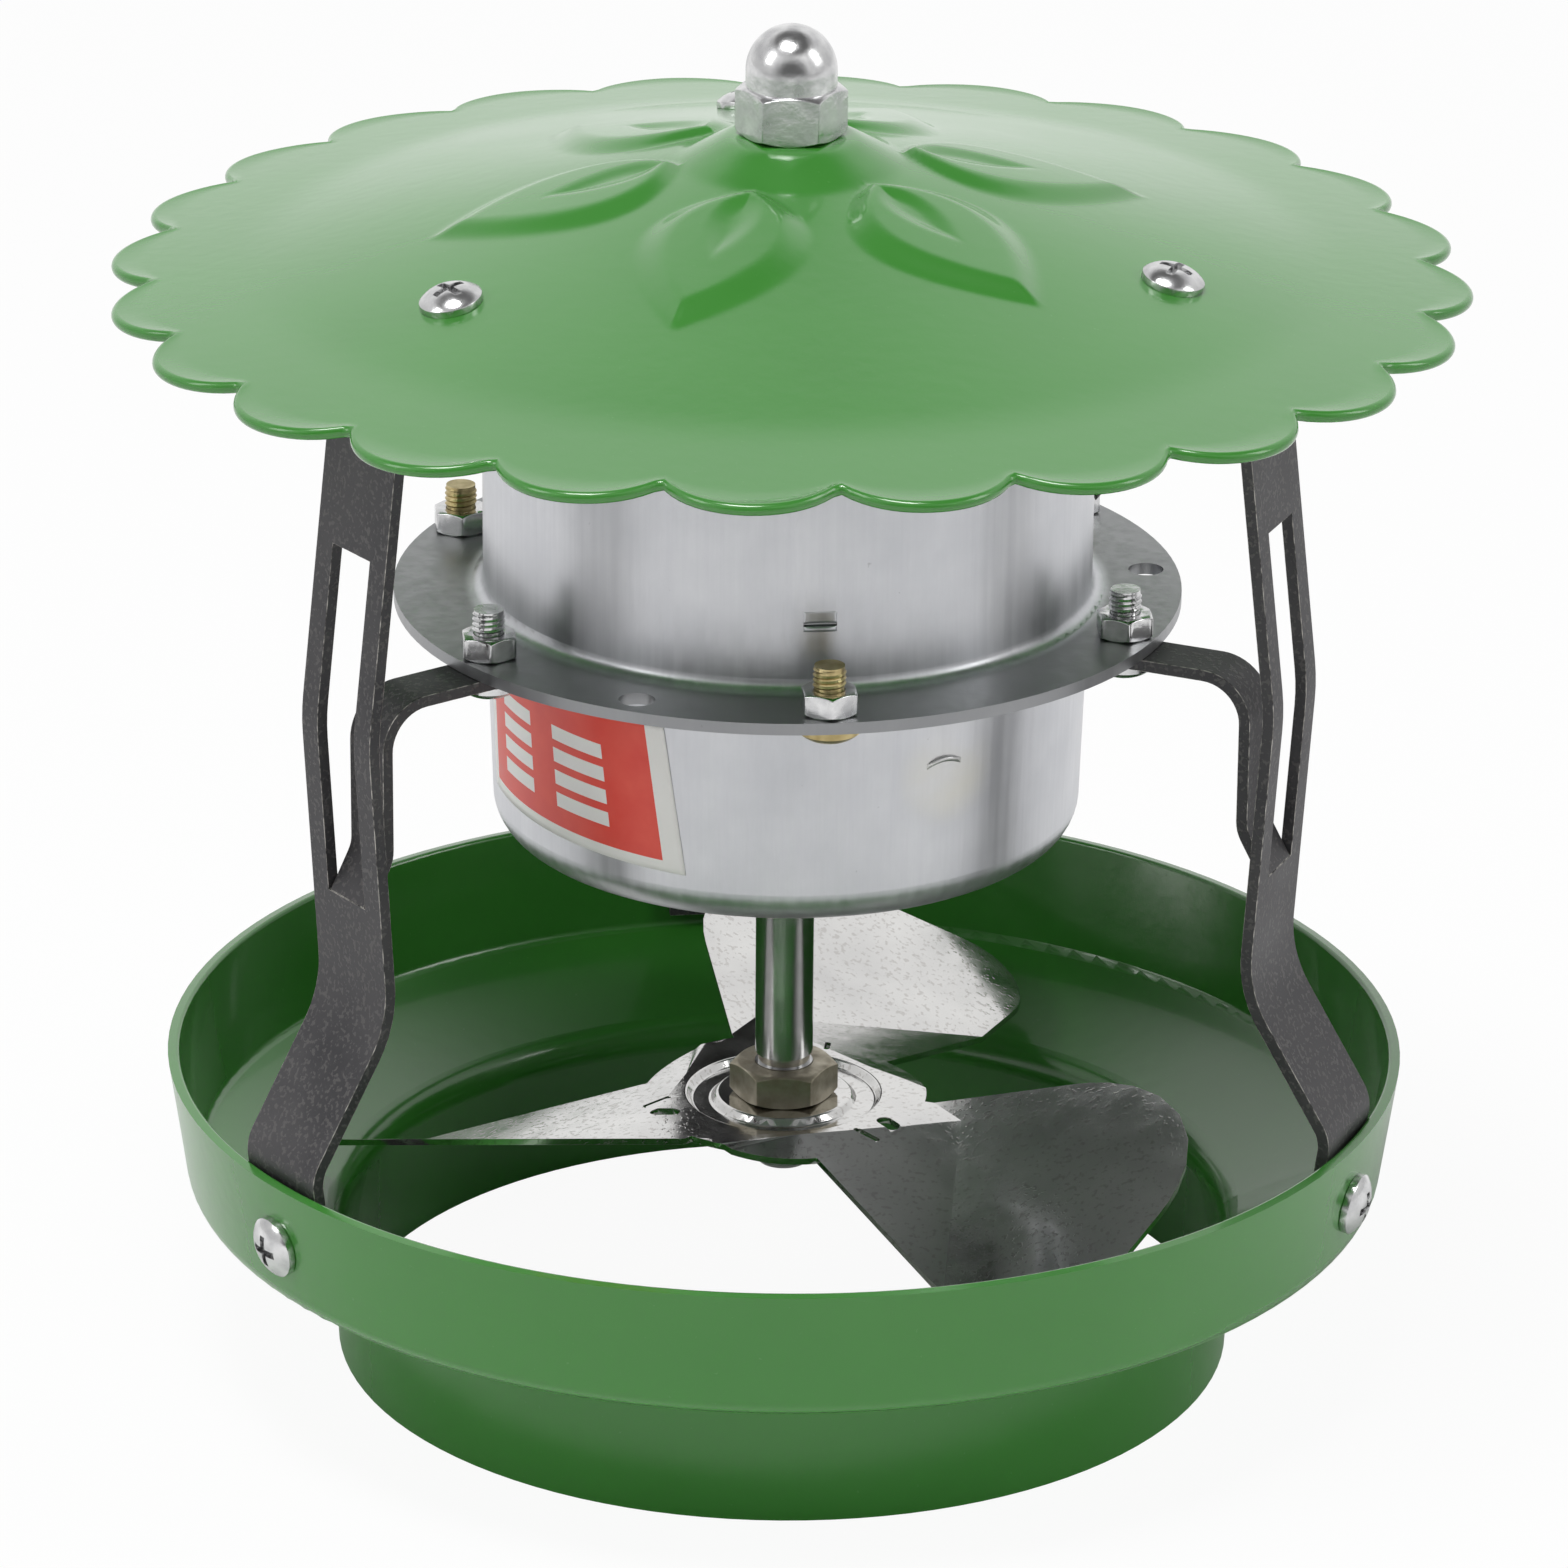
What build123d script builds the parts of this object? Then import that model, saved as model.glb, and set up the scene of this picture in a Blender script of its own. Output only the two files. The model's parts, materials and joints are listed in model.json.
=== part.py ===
from build123d import *
from math import atan2, cos, degrees, radians, sin, sqrt, tan

# Motorized chimney cowl: a flue bowl, three straps, a rain cap and a hanging fan motor.
# Millimetres, +Z up, origin at the centre of the spigot's bottom edge.

# Flue bowl, pressed from one sheet
FLUE_PIPE_D = 120.0
PIPE_SLIP = 0.4
BOWL_SHEET = 1.6
SPIGOT_H = 17.7
LEDGE_W = 20.5
LEDGE_RISE = 8.0
BOWL_WALL_H = 17.8
BOWL_FLARE = 2.5
BOWL_BEND_R = 3.0
BOWL_SCREW_UP = 8.5

# Heights of the motor joint and of the cap's brim
MOTOR_RISE = 66.4
CAP_RISE = 44.0

# Rain cap, pressed from one sheet
CAP_SHEET = 1.2
CAP_LOBES = 24
CAP_LOBE_R = 91.0
CAP_LOBE_DEPTH = 6.2
CAP_LOBE_AZIMUTH = 266.8
CAP_CREASE_R = 71.0
CAP_BRIM_RISE = 2.8
CAP_DOME_RISE = 13.6
CAP_BOSS_FOOT_R = 15.0
CAP_BOSS_TOP_R = 8.4
CAP_BOSS_RISE = 3.6
CAP_BOSS_EDGE_R = 1.0
CAP_BOSS_FILLET_R = 5.0
CAP_CREASE_BEND_R = 40.0
PETAL_COUNT = 6
PETAL_AZIMUTH = 12.0
PETAL_START_R = 17.0
PETAL_TIP_R = 48.0
PETAL_HALF_W = 10.0
PETAL_RAISE = 1.1
PETAL_VEIN_LENGTH = 15.0
PETAL_VEIN_HALF_W = 2.6
PETAL_VEIN_DEPTH = 0.6
CAP_SCREW_R = 54.5

# Legs, straps with a lanced tongue that carries the motor
LEG_NAMES = ["leg_left", "leg_right", "leg_rear"]
LEG_AZIMUTH = 216.5
LEG_W = 16.0
LEG_SHEET = 1.6
LEG_WAIST_R = 71.0
LEG_WAIST_UP = 22.5
LEG_BULGE_R = 73.5
LEG_BULGE_DOWN = 4.5
LEG_SHOULDER_R = 67.4
LEG_TAB_END = 8.2
LEG_FOOT_LIFT = 3.0
LEG_KNEE_R = 6.0
LEG_WAIST_BEND_R = 16.0
LEG_BULGE_BEND_R = 30.0
LEG_SHOULDER_BEND_R = 3.0
SLOT_W = 8.6
SLOT_TOP_UP = 19.8
SLOT_BOTTOM_DOWN = 28.6
TONGUE_W = 7.8
TONGUE_SET = 3.4
TONGUE_BEND_R = 7.0
TONGUE_ROOT_RISE = 6.0
TONGUE_END = 4.6
SEAT_GAP = 0.1

# Motor covers
MOTOR_SHEET = 0.8
FLANGE_R = 53.3
BOLT_CIRCLE_R = 49.0
UPPER_CAN_R = 41.2
UPPER_CAN_H = 34.0
LOWER_CAN_R = 40.9
LOWER_CAN_TAPER = 1.1
LOWER_CAN_H = 33.7
CAN_CORNER_R = 5.0
CAN_ROOT_R = 1.6
BEARING_BOSS_H = 6.4
SHAFT_HOLE_R = 5.5
SPARE_HOLE_R = 2.4
TAB_W = 4.4
TAB_H = 2.0
TAB_DEPTH = 1.4
TAB_AZIMUTH = 276.0
GROMMET_AZIMUTH = 5.0
GROMMET_R = 4.6
GROMMET_HOLE_R = 3.4
GROMMET_BORE_R = 1.9
GROMMET_LIP = 1.1

# Motor inside
BEARING_R = 11.0
BEARING_W = 7.0
BEARING_CHAMFER = 0.6
BEARING_PITCH_R = 7.5
BALL_R = 1.95
BALL_COUNT = 7
RACE_GAP = 0.1
RACE_SHOULDER = 1.25
SHAFT_R = 4.0
STACK_H = 19.4
STACK_GAP = 0.15
BORE_R = 22.0
AIR_GAP = 0.4
STATOR_SLOTS = 12
STATOR_YOKE = 6.5
SLOT_MOUTH_W = 2.4
TOOTH_TIP = 2.2
TOOTH_W = 6.4
COIL_GAP = 0.25
COIL_HEAD_H = 9.0
CAGE_BARS = 14
CAGE_BAR_R = 1.3
CAGE_RING_H = 4.0
CAGE_RING_W = 6.0
CLIP_H = 0.8
CLIP_REACH = 2.2
WAVE_H = 0.9

# Fan, stamped from one sheet, and the shaft end it is clamped on
FAN_DROP = 8.3
FAN_SHEET = 0.9
FAN_BLADES = 3
FAN_AZIMUTH = 181.5
FAN_HUB_R = 19.8
FAN_PITCH = 24.2
FAN_PITCH_FOLD = 15.9
FAN_DROOP = 15.5
FAN_DROOP_FOLD = 14.7
FAN_DROOP_TURN = -18.7
FAN_ROOT_HIGH = (10.0, 12.6)
FAN_ROOT_LOW = (8.0, -6.4)
FAN_TIP_HIGH = (52.6, 48.3)
FAN_TIP_LOW = (73.4, -4.6)
FAN_HIGH_CORNER_R = 22.0
FAN_LOW_CORNER_R = 9.0
FAN_RING_R = 11.4
FAN_RING_W = 3.4
FAN_RING_DEPTH = 1.0
FAN_HOLE_AT = (16.5, 6.8)
FAN_HOLE_L = 4.2
FAN_HOLE_W = 2.2
FAN_SLIT_AT = (17.6, 2.6)
FAN_SLIT_W = 0.8
SHAFT_END_DROP = 10.2

# Fasteners
M4_R = 2.0
M4_HEAD_R = 4.2
M4_HEAD_H = 2.3
M4_NUT_AF = 7.0
M4_NUT_H = 3.2
M4_CLEARANCE = 0.25
M4_TAIL = 3.3
M8_R = 4.0
M8_NUT_AF = 13.0
M8_JAM_H = 4.8
M8_WASHER_H = 1.6
M8_WASHER_R = 6.9
ACORN_H = 15.0
ACORN_HEX_H = 6.7
ACORN_DOME_R = 6.1
THREAD_GAP = 0.04

# Places that follow from the driving dimensions
SPIGOT_R_IN = FLUE_PIPE_D / 2 + PIPE_SLIP
SPIGOT_R = SPIGOT_R_IN + BOWL_SHEET
WALL_BASE_R = SPIGOT_R + LEDGE_W
WALL_BASE_Z = SPIGOT_H + LEDGE_RISE
RIM_R = WALL_BASE_R + BOWL_FLARE
RIM_Z = WALL_BASE_Z + BOWL_WALL_H
JOINT_Z = RIM_Z + MOTOR_RISE
BRIM_Z = JOINT_Z + CAP_RISE
CAP_NOTCH_R = CAP_LOBE_R - CAP_LOBE_DEPTH
LEG_TAB_R = CAP_SCREW_R - LEG_TAB_END
CREASE_Z = BRIM_Z + CAP_BRIM_RISE
BOSS_FOOT_Z = CREASE_Z + CAP_DOME_RISE
APEX_Z = BOSS_FOOT_Z + CAP_BOSS_RISE
FLANGE_TOP_Z = JOINT_Z + MOTOR_SHEET
FLANGE_UNDER_Z = JOINT_Z - MOTOR_SHEET
UPPER_TOP_Z = JOINT_Z + UPPER_CAN_H
LOWER_BOTTOM_Z = JOINT_Z - LOWER_CAN_H
FAN_TOP_Z = RIM_Z - FAN_DROP
LEG_AZIMUTHS = [LEG_AZIMUTH + 360 / len(LEG_NAMES) * k for k in range(len(LEG_NAMES))]
CASE_BOLT_AZIMUTHS = [a + 60 for a in LEG_AZIMUTHS]
SPARE_AZIMUTHS = [a + 30 for a in LEG_AZIMUTHS]
BOLT_HOLE_R = M4_R + M4_CLEARANCE

# The dome's slope, shared by the cap, the leg tabs and the cap screws
DOME_SLOPE = atan2(CAP_DOME_RISE, CAP_CREASE_R - CAP_BOSS_FOOT_R)
WALL_LEAN = atan2(BOWL_FLARE, BOWL_WALL_H)


def dome_z(r):
    """Height of the dome's top surface at a radius."""
    return CREASE_Z + (CAP_CREASE_R - r) * tan(DOME_SLOPE)


def wall_r(z):
    """Outer radius of the bowl's flared wall at a height."""
    return WALL_BASE_R + (z - WALL_BASE_Z) * tan(WALL_LEAN)


def section(path, thickness, side):
    """A sheet's section: a path in the radial plane with its thickness on one side."""
    return Plane.XZ * make_face(offset(path, amount=thickness, side=side))


def turned(*points):
    """A solid of revolution from a closed outline of (radius, height) points."""
    return revolve(Plane.XZ * make_face(Polyline(*points, close=True)), Axis.Z)


def ring(r_in, r_out, z_low, z_high):
    """A plain ring."""
    return turned((r_in, z_low), (r_out, z_low), (r_out, z_high), (r_in, z_high))


def around(azimuths, shape):
    """Copies of a shape drawn at azimuth 0, turned about the axis."""
    return [Rot(0, 0, a) * shape for a in azimuths]


def hex_prism(across_flats, height):
    """A hexagonal bar with its end corners turned off."""
    corner = across_flats / sqrt(3)
    flat = across_flats / 2 * 0.97
    chamfer = (corner - flat) * 0.55
    bar = extrude(RegularPolygon(corner, 6), height)
    blank = turned(
        (0, 0), (flat, 0), (corner, chamfer), (corner, height - chamfer), (flat, height), (0, height)
    )
    return bar & blank


def hex_nut(across_flats, height, thread_r):
    """A hexagon nut standing on z = 0."""
    return hex_prism(across_flats, height) - Cylinder(thread_r + THREAD_GAP, height * 4)


def pan_screw(length):
    """A pan head screw with a cross recess, seat at z = 0 and shank downwards."""
    edge_h = M4_HEAD_H * 0.4
    crown = ThreePointArc(
        (M4_HEAD_R, edge_h), (M4_HEAD_R * 0.62, M4_HEAD_H * 0.86), (0, M4_HEAD_H)
    )
    rest = Polyline(
        (0, M4_HEAD_H), (0, -length), (M4_R, -length), (M4_R, 0), (M4_HEAD_R, 0), (M4_HEAD_R, edge_h)
    )
    body = revolve(Plane.XZ * make_face([crown.edge(), *rest.edges()]), Axis.Z)
    slot = Box(M4_HEAD_R * 1.05, M4_HEAD_R * 0.24, M4_HEAD_H * 1.1)
    recess = Pos(0, 0, M4_HEAD_H) * (slot + Rot(0, 0, 90) * slot)
    return body - recess


def place(node, shape):
    """Write one node."""
    export_step(shape, "parts/" + node + ".step")


def group(solids):
    """Separate solids kept together in one node."""
    return Compound(children=solids)


# Screw axes: on the dome square to its slope, on the wall square to its lean
CAP_SCREW_SEAT = Pos(CAP_SCREW_R, 0, dome_z(CAP_SCREW_R)) * Rot(0, degrees(DOME_SLOPE), 0)
WALL_SCREW_Z = WALL_BASE_Z + BOWL_SCREW_UP
WALL_SCREW_SEAT = Pos(wall_r(WALL_SCREW_Z), 0, WALL_SCREW_Z) * Rot(0, 90 + degrees(WALL_LEAN), 0)


def flue_bowl():
    """Spigot, sloping ledge and flared wall in one sheet, drilled for the legs."""
    path = FilletPolyline(
        (SPIGOT_R, 0), (SPIGOT_R, SPIGOT_H), (WALL_BASE_R, WALL_BASE_Z), (RIM_R, RIM_Z),
        radius=BOWL_BEND_R,
    )
    bowl = revolve(section(path, BOWL_SHEET, Side.LEFT), Axis.Z)
    rim_edges = bowl.edges().filter_by(GeomType.CIRCLE).group_by(Axis.Z)[-1]
    bowl = fillet(rim_edges, BOWL_SHEET * 0.3)
    drill = WALL_SCREW_SEAT * Cylinder(BOLT_HOLE_R, BOWL_SHEET * 6)
    return bowl - around(LEG_AZIMUTHS, drill)


def lobed_outline():
    """The cap's scalloped rim, one arc to a lobe."""
    step = 360 / CAP_LOBES

    def at(radius, azimuth):
        return (radius * cos(radians(azimuth)), radius * sin(radians(azimuth)))

    lobes = []
    for k in range(CAP_LOBES):
        mid = CAP_LOBE_AZIMUTH + k * step
        start = at(CAP_NOTCH_R, mid - step / 2)
        end = at(CAP_NOTCH_R, mid + step / 2)
        lobes.append(ThreePointArc(start, at(CAP_LOBE_R, mid), end).edge())
    return make_face(lobes)


def leaf(start, tip, half_width):
    """A pointed leaf outline along +X, fullest nearer its root."""
    length = tip - start
    bulge = half_width * 1.55
    full = start + length * 0.16
    taper = tip - length * 0.42
    upper = Bezier((start, 0), (full, bulge), (taper, bulge * 0.86), (tip, 0))
    lower = Bezier((tip, 0), (taper, -bulge * 0.86), (full, -bulge), (start, 0))
    return make_face([upper.edge(), lower.edge()])


def dome_layer(low, high):
    """The dome cone between two heights measured from its top surface."""
    inner, outer = CAP_BOSS_FOOT_R, CAP_CREASE_R
    return turned(
        (inner, dome_z(inner) + low), (outer, dome_z(outer) + low),
        (outer, dome_z(outer) + high), (inner, dome_z(inner) + high),
    )


def leaf_column(outline):
    """A leaf outline drawn up through the dome."""
    return Pos(0, 0, BRIM_Z - CAP_DOME_RISE) * extrude(outline, CAP_DOME_RISE * 4)


def rain_cap():
    """Scalloped dome with raised petals and a centre boss."""
    path = FilletPolyline(
        (0, APEX_Z), (CAP_BOSS_TOP_R, APEX_Z), (CAP_BOSS_FOOT_R, BOSS_FOOT_Z), (CAP_CREASE_R, CREASE_Z),
        (CAP_LOBE_R + CAP_SHEET, BRIM_Z),
        radius=[CAP_BOSS_EDGE_R, CAP_BOSS_FILLET_R, CAP_CREASE_BEND_R],
    )
    cap = revolve(section(path, CAP_SHEET, Side.RIGHT), Axis.Z)
    blank = Pos(0, 0, BRIM_Z - CAP_RISE) * extrude(lobed_outline(), CAP_RISE + APEX_Z - BRIM_Z + CAP_SHEET)
    cap = cap & blank
    petal = leaf_column(leaf(PETAL_START_R, PETAL_TIP_R, PETAL_HALF_W))
    hollow = leaf_column(
        leaf(PETAL_START_R + CAP_SHEET, PETAL_TIP_R - CAP_SHEET * 2.2, PETAL_HALF_W - CAP_SHEET)
    )
    vein_start = PETAL_START_R + CAP_SHEET * 1.5
    vein = leaf_column(leaf(vein_start, vein_start + PETAL_VEIN_LENGTH, PETAL_VEIN_HALF_W))
    raised = dome_layer(-CAP_SHEET / 2, PETAL_RAISE) & petal
    raised = raised - (dome_layer(PETAL_RAISE - PETAL_VEIN_DEPTH, PETAL_RAISE * 2) & vein)
    emptied = dome_layer(-CAP_SHEET * 2, PETAL_RAISE - CAP_SHEET) & hollow
    azimuths = [PETAL_AZIMUTH + 360 / PETAL_COUNT * k for k in range(PETAL_COUNT)]
    cap = cap + around(azimuths, raised)
    cap = cap - around(azimuths, emptied)
    cap = cap - Cylinder(M8_R + M4_CLEARANCE, APEX_Z * 3)
    drill = CAP_SCREW_SEAT * Cylinder(BOLT_HOLE_R, CAP_SHEET * 6)
    return cap - around(LEG_AZIMUTHS, drill)


# The leg's outer face in the radial plane, from the foot up to the tab under the dome
FOOT_SAG = (LEG_W / 2) ** 2 / (2 * (WALL_BASE_R - BOWL_SHEET)) + SEAT_GAP
FOOT_SET = BOWL_SHEET / cos(WALL_LEAN) + FOOT_SAG
TAB_SAG = (LEG_W / 2) ** 2 / (2 * LEG_TAB_R) * tan(DOME_SLOPE) + SEAT_GAP
TAB_SET = CAP_SHEET / cos(DOME_SLOPE) + TAB_SAG
SHOULDER_Z = dome_z(LEG_SHOULDER_R) - TAB_SET
BULGE_Z = JOINT_Z - LEG_BULGE_DOWN
WAIST_Z = RIM_Z + LEG_WAIST_UP


def leg_path():
    """Foot on the bowl wall, knee, waist, bulge and the tab under the dome."""
    foot_z = WALL_BASE_Z + LEG_FOOT_LIFT
    knee_z = RIM_Z + LEG_FOOT_LIFT
    return FilletPolyline(
        (wall_r(foot_z) - FOOT_SET, foot_z),
        (wall_r(knee_z) - FOOT_SET, knee_z),
        (LEG_WAIST_R, WAIST_Z),
        (LEG_BULGE_R, BULGE_Z),
        (LEG_SHOULDER_R, SHOULDER_Z),
        (LEG_TAB_R, dome_z(LEG_TAB_R) - TAB_SET),
        radius=[LEG_KNEE_R, LEG_WAIST_BEND_R, LEG_BULGE_BEND_R, LEG_SHOULDER_BEND_R],
    )


def strap_r(z):
    """Outer radius of the strap between its waist and its shoulder."""
    if z < BULGE_Z:
        share = (z - WAIST_Z) / (BULGE_Z - WAIST_Z)
        return LEG_WAIST_R + (LEG_BULGE_R - LEG_WAIST_R) * share
    share = (z - BULGE_Z) / (SHOULDER_Z - BULGE_Z)
    return LEG_BULGE_R + (LEG_SHOULDER_R - LEG_BULGE_R) * share


def strap(path, width):
    """A flat strip of the leg sheet that follows a path in the radial plane."""
    return extrude(section(path, LEG_SHEET, Side.LEFT), width / 2, both=True)


def leg():
    """One strap with its slot, the tongue bent out of it and three screw holes."""
    slot_low = JOINT_Z - SLOT_BOTTOM_DOWN
    slot_high = JOINT_Z + SLOT_TOP_UP
    slot_mid = (slot_low + slot_high) / 2
    body = strap(leg_path(), LEG_W)
    body = body - Pos(strap_r(slot_mid), 0, slot_mid) * Box(LEG_SHEET * 8, SLOT_W, slot_high - slot_low)
    tongue_top = FLANGE_UNDER_Z - SEAT_GAP
    riser_r = strap_r(slot_low) - TONGUE_SET
    tongue_path = FilletPolyline(
        (strap_r(slot_low - TONGUE_ROOT_RISE), slot_low - TONGUE_ROOT_RISE),
        (strap_r(slot_low), slot_low),
        (riser_r, slot_low + TONGUE_ROOT_RISE),
        (riser_r, tongue_top),
        (BOLT_CIRCLE_R - TONGUE_END, tongue_top),
        radius=[LEG_SHEET, LEG_SHEET * 2.5, TONGUE_BEND_R],
    )
    body = body + strap(tongue_path, TONGUE_W)
    bolt_hole = Pos(BOLT_CIRCLE_R, 0, tongue_top) * Cylinder(BOLT_HOLE_R, LEG_SHEET * 6)
    wall_hole = WALL_SCREW_SEAT * Cylinder(M4_R + THREAD_GAP, LEG_SHEET * 8)
    cap_hole = CAP_SCREW_SEAT * Cylinder(BOLT_HOLE_R, LEG_SHEET * 8)
    return body - [bolt_hole, wall_hole, cap_hole]


# Stacks that the screws pass through
WALL_STACK = BOWL_SHEET + FOOT_SAG + LEG_SHEET + SEAT_GAP
CAP_STACK = CAP_SHEET + TAB_SAG * cos(DOME_SLOPE) + LEG_SHEET + SEAT_GAP


def flange_holes():
    """The bolt holes through both covers' flanges, used and spare."""
    used = Pos(BOLT_CIRCLE_R, 0, JOINT_Z) * Cylinder(BOLT_HOLE_R, MOTOR_SHEET * 6)
    spare = Pos(BOLT_CIRCLE_R, 0, JOINT_Z) * Cylinder(SPARE_HOLE_R, MOTOR_SHEET * 6)
    return around(LEG_AZIMUTHS + CASE_BOLT_AZIMUTHS, used) + around(SPARE_AZIMUTHS, spare)


BOSS_R = BEARING_R + STACK_GAP / 3 + MOTOR_SHEET
STACK_TOP_Z = JOINT_Z + STACK_H / 2
STACK_BOTTOM_Z = JOINT_Z - STACK_H / 2
STATOR_R = LOWER_CAN_R - LOWER_CAN_TAPER * STACK_H / 2 / LOWER_CAN_H - MOTOR_SHEET - STACK_GAP
GROMMET_Z = STACK_TOP_Z + TAB_H + GROMMET_R
GROMMET_SAG = GROMMET_R ** 2 / (2 * UPPER_CAN_R) + SEAT_GAP


def motor_upper_cover():
    """Upper can with its flange, closed bearing boss and three lanced tabs."""
    path = FilletPolyline(
        (FLANGE_R, FLANGE_TOP_Z), (UPPER_CAN_R, FLANGE_TOP_Z),
        (UPPER_CAN_R, UPPER_TOP_Z), (BOSS_R, UPPER_TOP_Z),
        (BOSS_R, UPPER_TOP_Z + BEARING_BOSS_H), (0, UPPER_TOP_Z + BEARING_BOSS_H),
        radius=[CAN_ROOT_R, CAN_CORNER_R, MOTOR_SHEET * 1.2, MOTOR_SHEET * 1.5],
    )
    cover = revolve(section(path, MOTOR_SHEET, Side.LEFT), Axis.Z) - flange_holes()
    window = Pos(UPPER_CAN_R, 0, STACK_TOP_Z + TAB_H / 2) * Box(MOTOR_SHEET * 4, TAB_W, TAB_H)
    tab_r = UPPER_CAN_R - MOTOR_SHEET
    tab = Pos(tab_r - TAB_DEPTH / 2, 0, STACK_TOP_Z + SEAT_GAP + MOTOR_SHEET / 2) * Box(
        TAB_DEPTH + MOTOR_SHEET, TAB_W, MOTOR_SHEET
    )
    azimuths = [TAB_AZIMUTH + 120 * k for k in range(3)]
    cover = cover - around(azimuths, window) + around(azimuths, tab)
    lead_hole = Rot(0, 0, GROMMET_AZIMUTH) * Pos(UPPER_CAN_R, 0, GROMMET_Z) * Rot(0, 90, 0)
    return cover - lead_hole * Cylinder(GROMMET_HOLE_R, MOTOR_SHEET * 8)


def motor_lower_cover():
    """Lower can with its flange, slight taper and an open bearing boss for the shaft."""
    bottom_r = LOWER_CAN_R - LOWER_CAN_TAPER
    boss_z = LOWER_BOTTOM_Z - BEARING_BOSS_H
    path = FilletPolyline(
        (FLANGE_R, FLANGE_UNDER_Z), (LOWER_CAN_R, FLANGE_UNDER_Z), (bottom_r, LOWER_BOTTOM_Z),
        (BOSS_R, LOWER_BOTTOM_Z), (BOSS_R, boss_z), (SHAFT_HOLE_R, boss_z),
        radius=[CAN_ROOT_R, CAN_CORNER_R, MOTOR_SHEET * 1.2, MOTOR_SHEET * 1.5],
    )
    return revolve(section(path, MOTOR_SHEET, Side.RIGHT), Axis.Z) - flange_holes()


def cable_grommet():
    """Rubber grommet in the upper can's wall."""
    groove = MOTOR_SHEET + GROMMET_SAG * 2
    half = groove / 2
    neck = GROMMET_HOLE_R - SEAT_GAP
    body = turned(
        (GROMMET_BORE_R, -half - GROMMET_LIP), (GROMMET_R * 0.85, -half - GROMMET_LIP), (GROMMET_R, -half),
        (neck, -half), (neck, half), (GROMMET_R, half), (GROMMET_R * 0.75, half + GROMMET_LIP),
        (GROMMET_BORE_R, half + GROMMET_LIP),
    )
    seat = Pos(UPPER_CAN_R - MOTOR_SHEET / 2, 0, GROMMET_Z) * Rot(0, 90, 0)
    return Rot(0, 0, GROMMET_AZIMUTH) * seat * body


def stator_core():
    """Lamination stack with semi-closed winding slots."""
    slot_bottom = STATOR_R - STATOR_YOKE
    pocket_low = BORE_R + TOOTH_TIP
    core = ring(BORE_R, STATOR_R, STACK_BOTTOM_Z, STACK_TOP_Z)
    mouth = Pos((BORE_R + pocket_low) / 2, 0, JOINT_Z) * Box(TOOTH_TIP * 2.2, SLOT_MOUTH_W, STACK_H * 2)
    step = 360 / STATOR_SLOTS
    azimuths = [step * k for k in range(STATOR_SLOTS)]
    return core - around(azimuths, slot_space(pocket_low, slot_bottom, 0)) - around(azimuths, mouth)


def slot_space(low, high, margin):
    """One winding slot between two teeth of equal width, less a margin all round."""
    half_step = tan(radians(180 / STATOR_SLOTS))
    tooth = TOOTH_W / 2 / cos(radians(180 / STATOR_SLOTS))
    low_half = (low + margin) * half_step - tooth - margin
    high_half = (high - margin) * half_step - tooth - margin
    outline = make_face(
        Polyline(
            (low + margin, -low_half), (high - margin, -high_half), (high - margin, high_half),
            (low + margin, low_half), close=True,
        )
    )
    return Pos(0, 0, STACK_BOTTOM_Z - STACK_H) * extrude(outline, STACK_H * 3)


def stator_windings():
    """Coil sides in the slots joined by a wound head above and below the stack."""
    low = BORE_R + TOOTH_TIP
    high = STATOR_R - STATOR_YOKE
    column = ring(0.1, STATOR_R, STACK_BOTTOM_Z - COIL_GAP * 2, STACK_TOP_Z + COIL_GAP * 2)
    side = slot_space(low, high, COIL_GAP) & column
    mid_r = (low + high) / 2
    half_w = (high - low) / 2
    step = 360 / STATOR_SLOTS
    coils = around([step * k for k in range(STATOR_SLOTS)], side)
    head_path = FilletPolyline(
        (mid_r - half_w, 0), (mid_r + half_w, 0),
        (mid_r + half_w, COIL_HEAD_H), (mid_r - half_w, COIL_HEAD_H),
        radius=half_w * 0.6, close=True,
    )
    head = revolve(Plane.XZ * make_face(head_path), Axis.Z)
    upper = Pos(0, 0, STACK_TOP_Z + COIL_GAP) * head
    lower = Pos(0, 0, STACK_BOTTOM_Z - COIL_GAP - COIL_HEAD_H) * head
    return upper + lower + coils


LOWER_BEARING_Z = LOWER_BOTTOM_Z - BEARING_BOSS_H + MOTOR_SHEET + SEAT_GAP / 2
UPPER_BEARING_Z = UPPER_TOP_Z + BEARING_BOSS_H - MOTOR_SHEET - WAVE_H - SEAT_GAP * 2 - BEARING_W
RACE_R = BALL_R + RACE_GAP


def bearing_rings(z):
    """Outer and inner ring of a deep groove bearing that stands on a height."""
    groove = Pos(0, 0, z + BEARING_W / 2) * Torus(BEARING_PITCH_R, RACE_R)
    land = BEARING_PITCH_R + RACE_SHOULDER
    edge = BEARING_R - BEARING_CHAMFER
    outer = turned(
        (land, z), (edge, z), (BEARING_R, z + BEARING_CHAMFER), (BEARING_R, z + BEARING_W - BEARING_CHAMFER),
        (edge, z + BEARING_W), (land, z + BEARING_W),
    )
    outer = outer - groove
    inner = ring(SHAFT_R + THREAD_GAP / 2, BEARING_PITCH_R - RACE_SHOULDER, z, z + BEARING_W) - groove
    return outer, inner


def bearing_balls():
    """The ball sets of both bearings."""
    azimuths = [360 / BALL_COUNT * k for k in range(BALL_COUNT)]
    balls = []
    for z in (LOWER_BEARING_Z, UPPER_BEARING_Z):
        balls += around(azimuths, Pos(BEARING_PITCH_R, 0, z + BEARING_W / 2) * Sphere(BALL_R))
    return group(balls)


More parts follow.
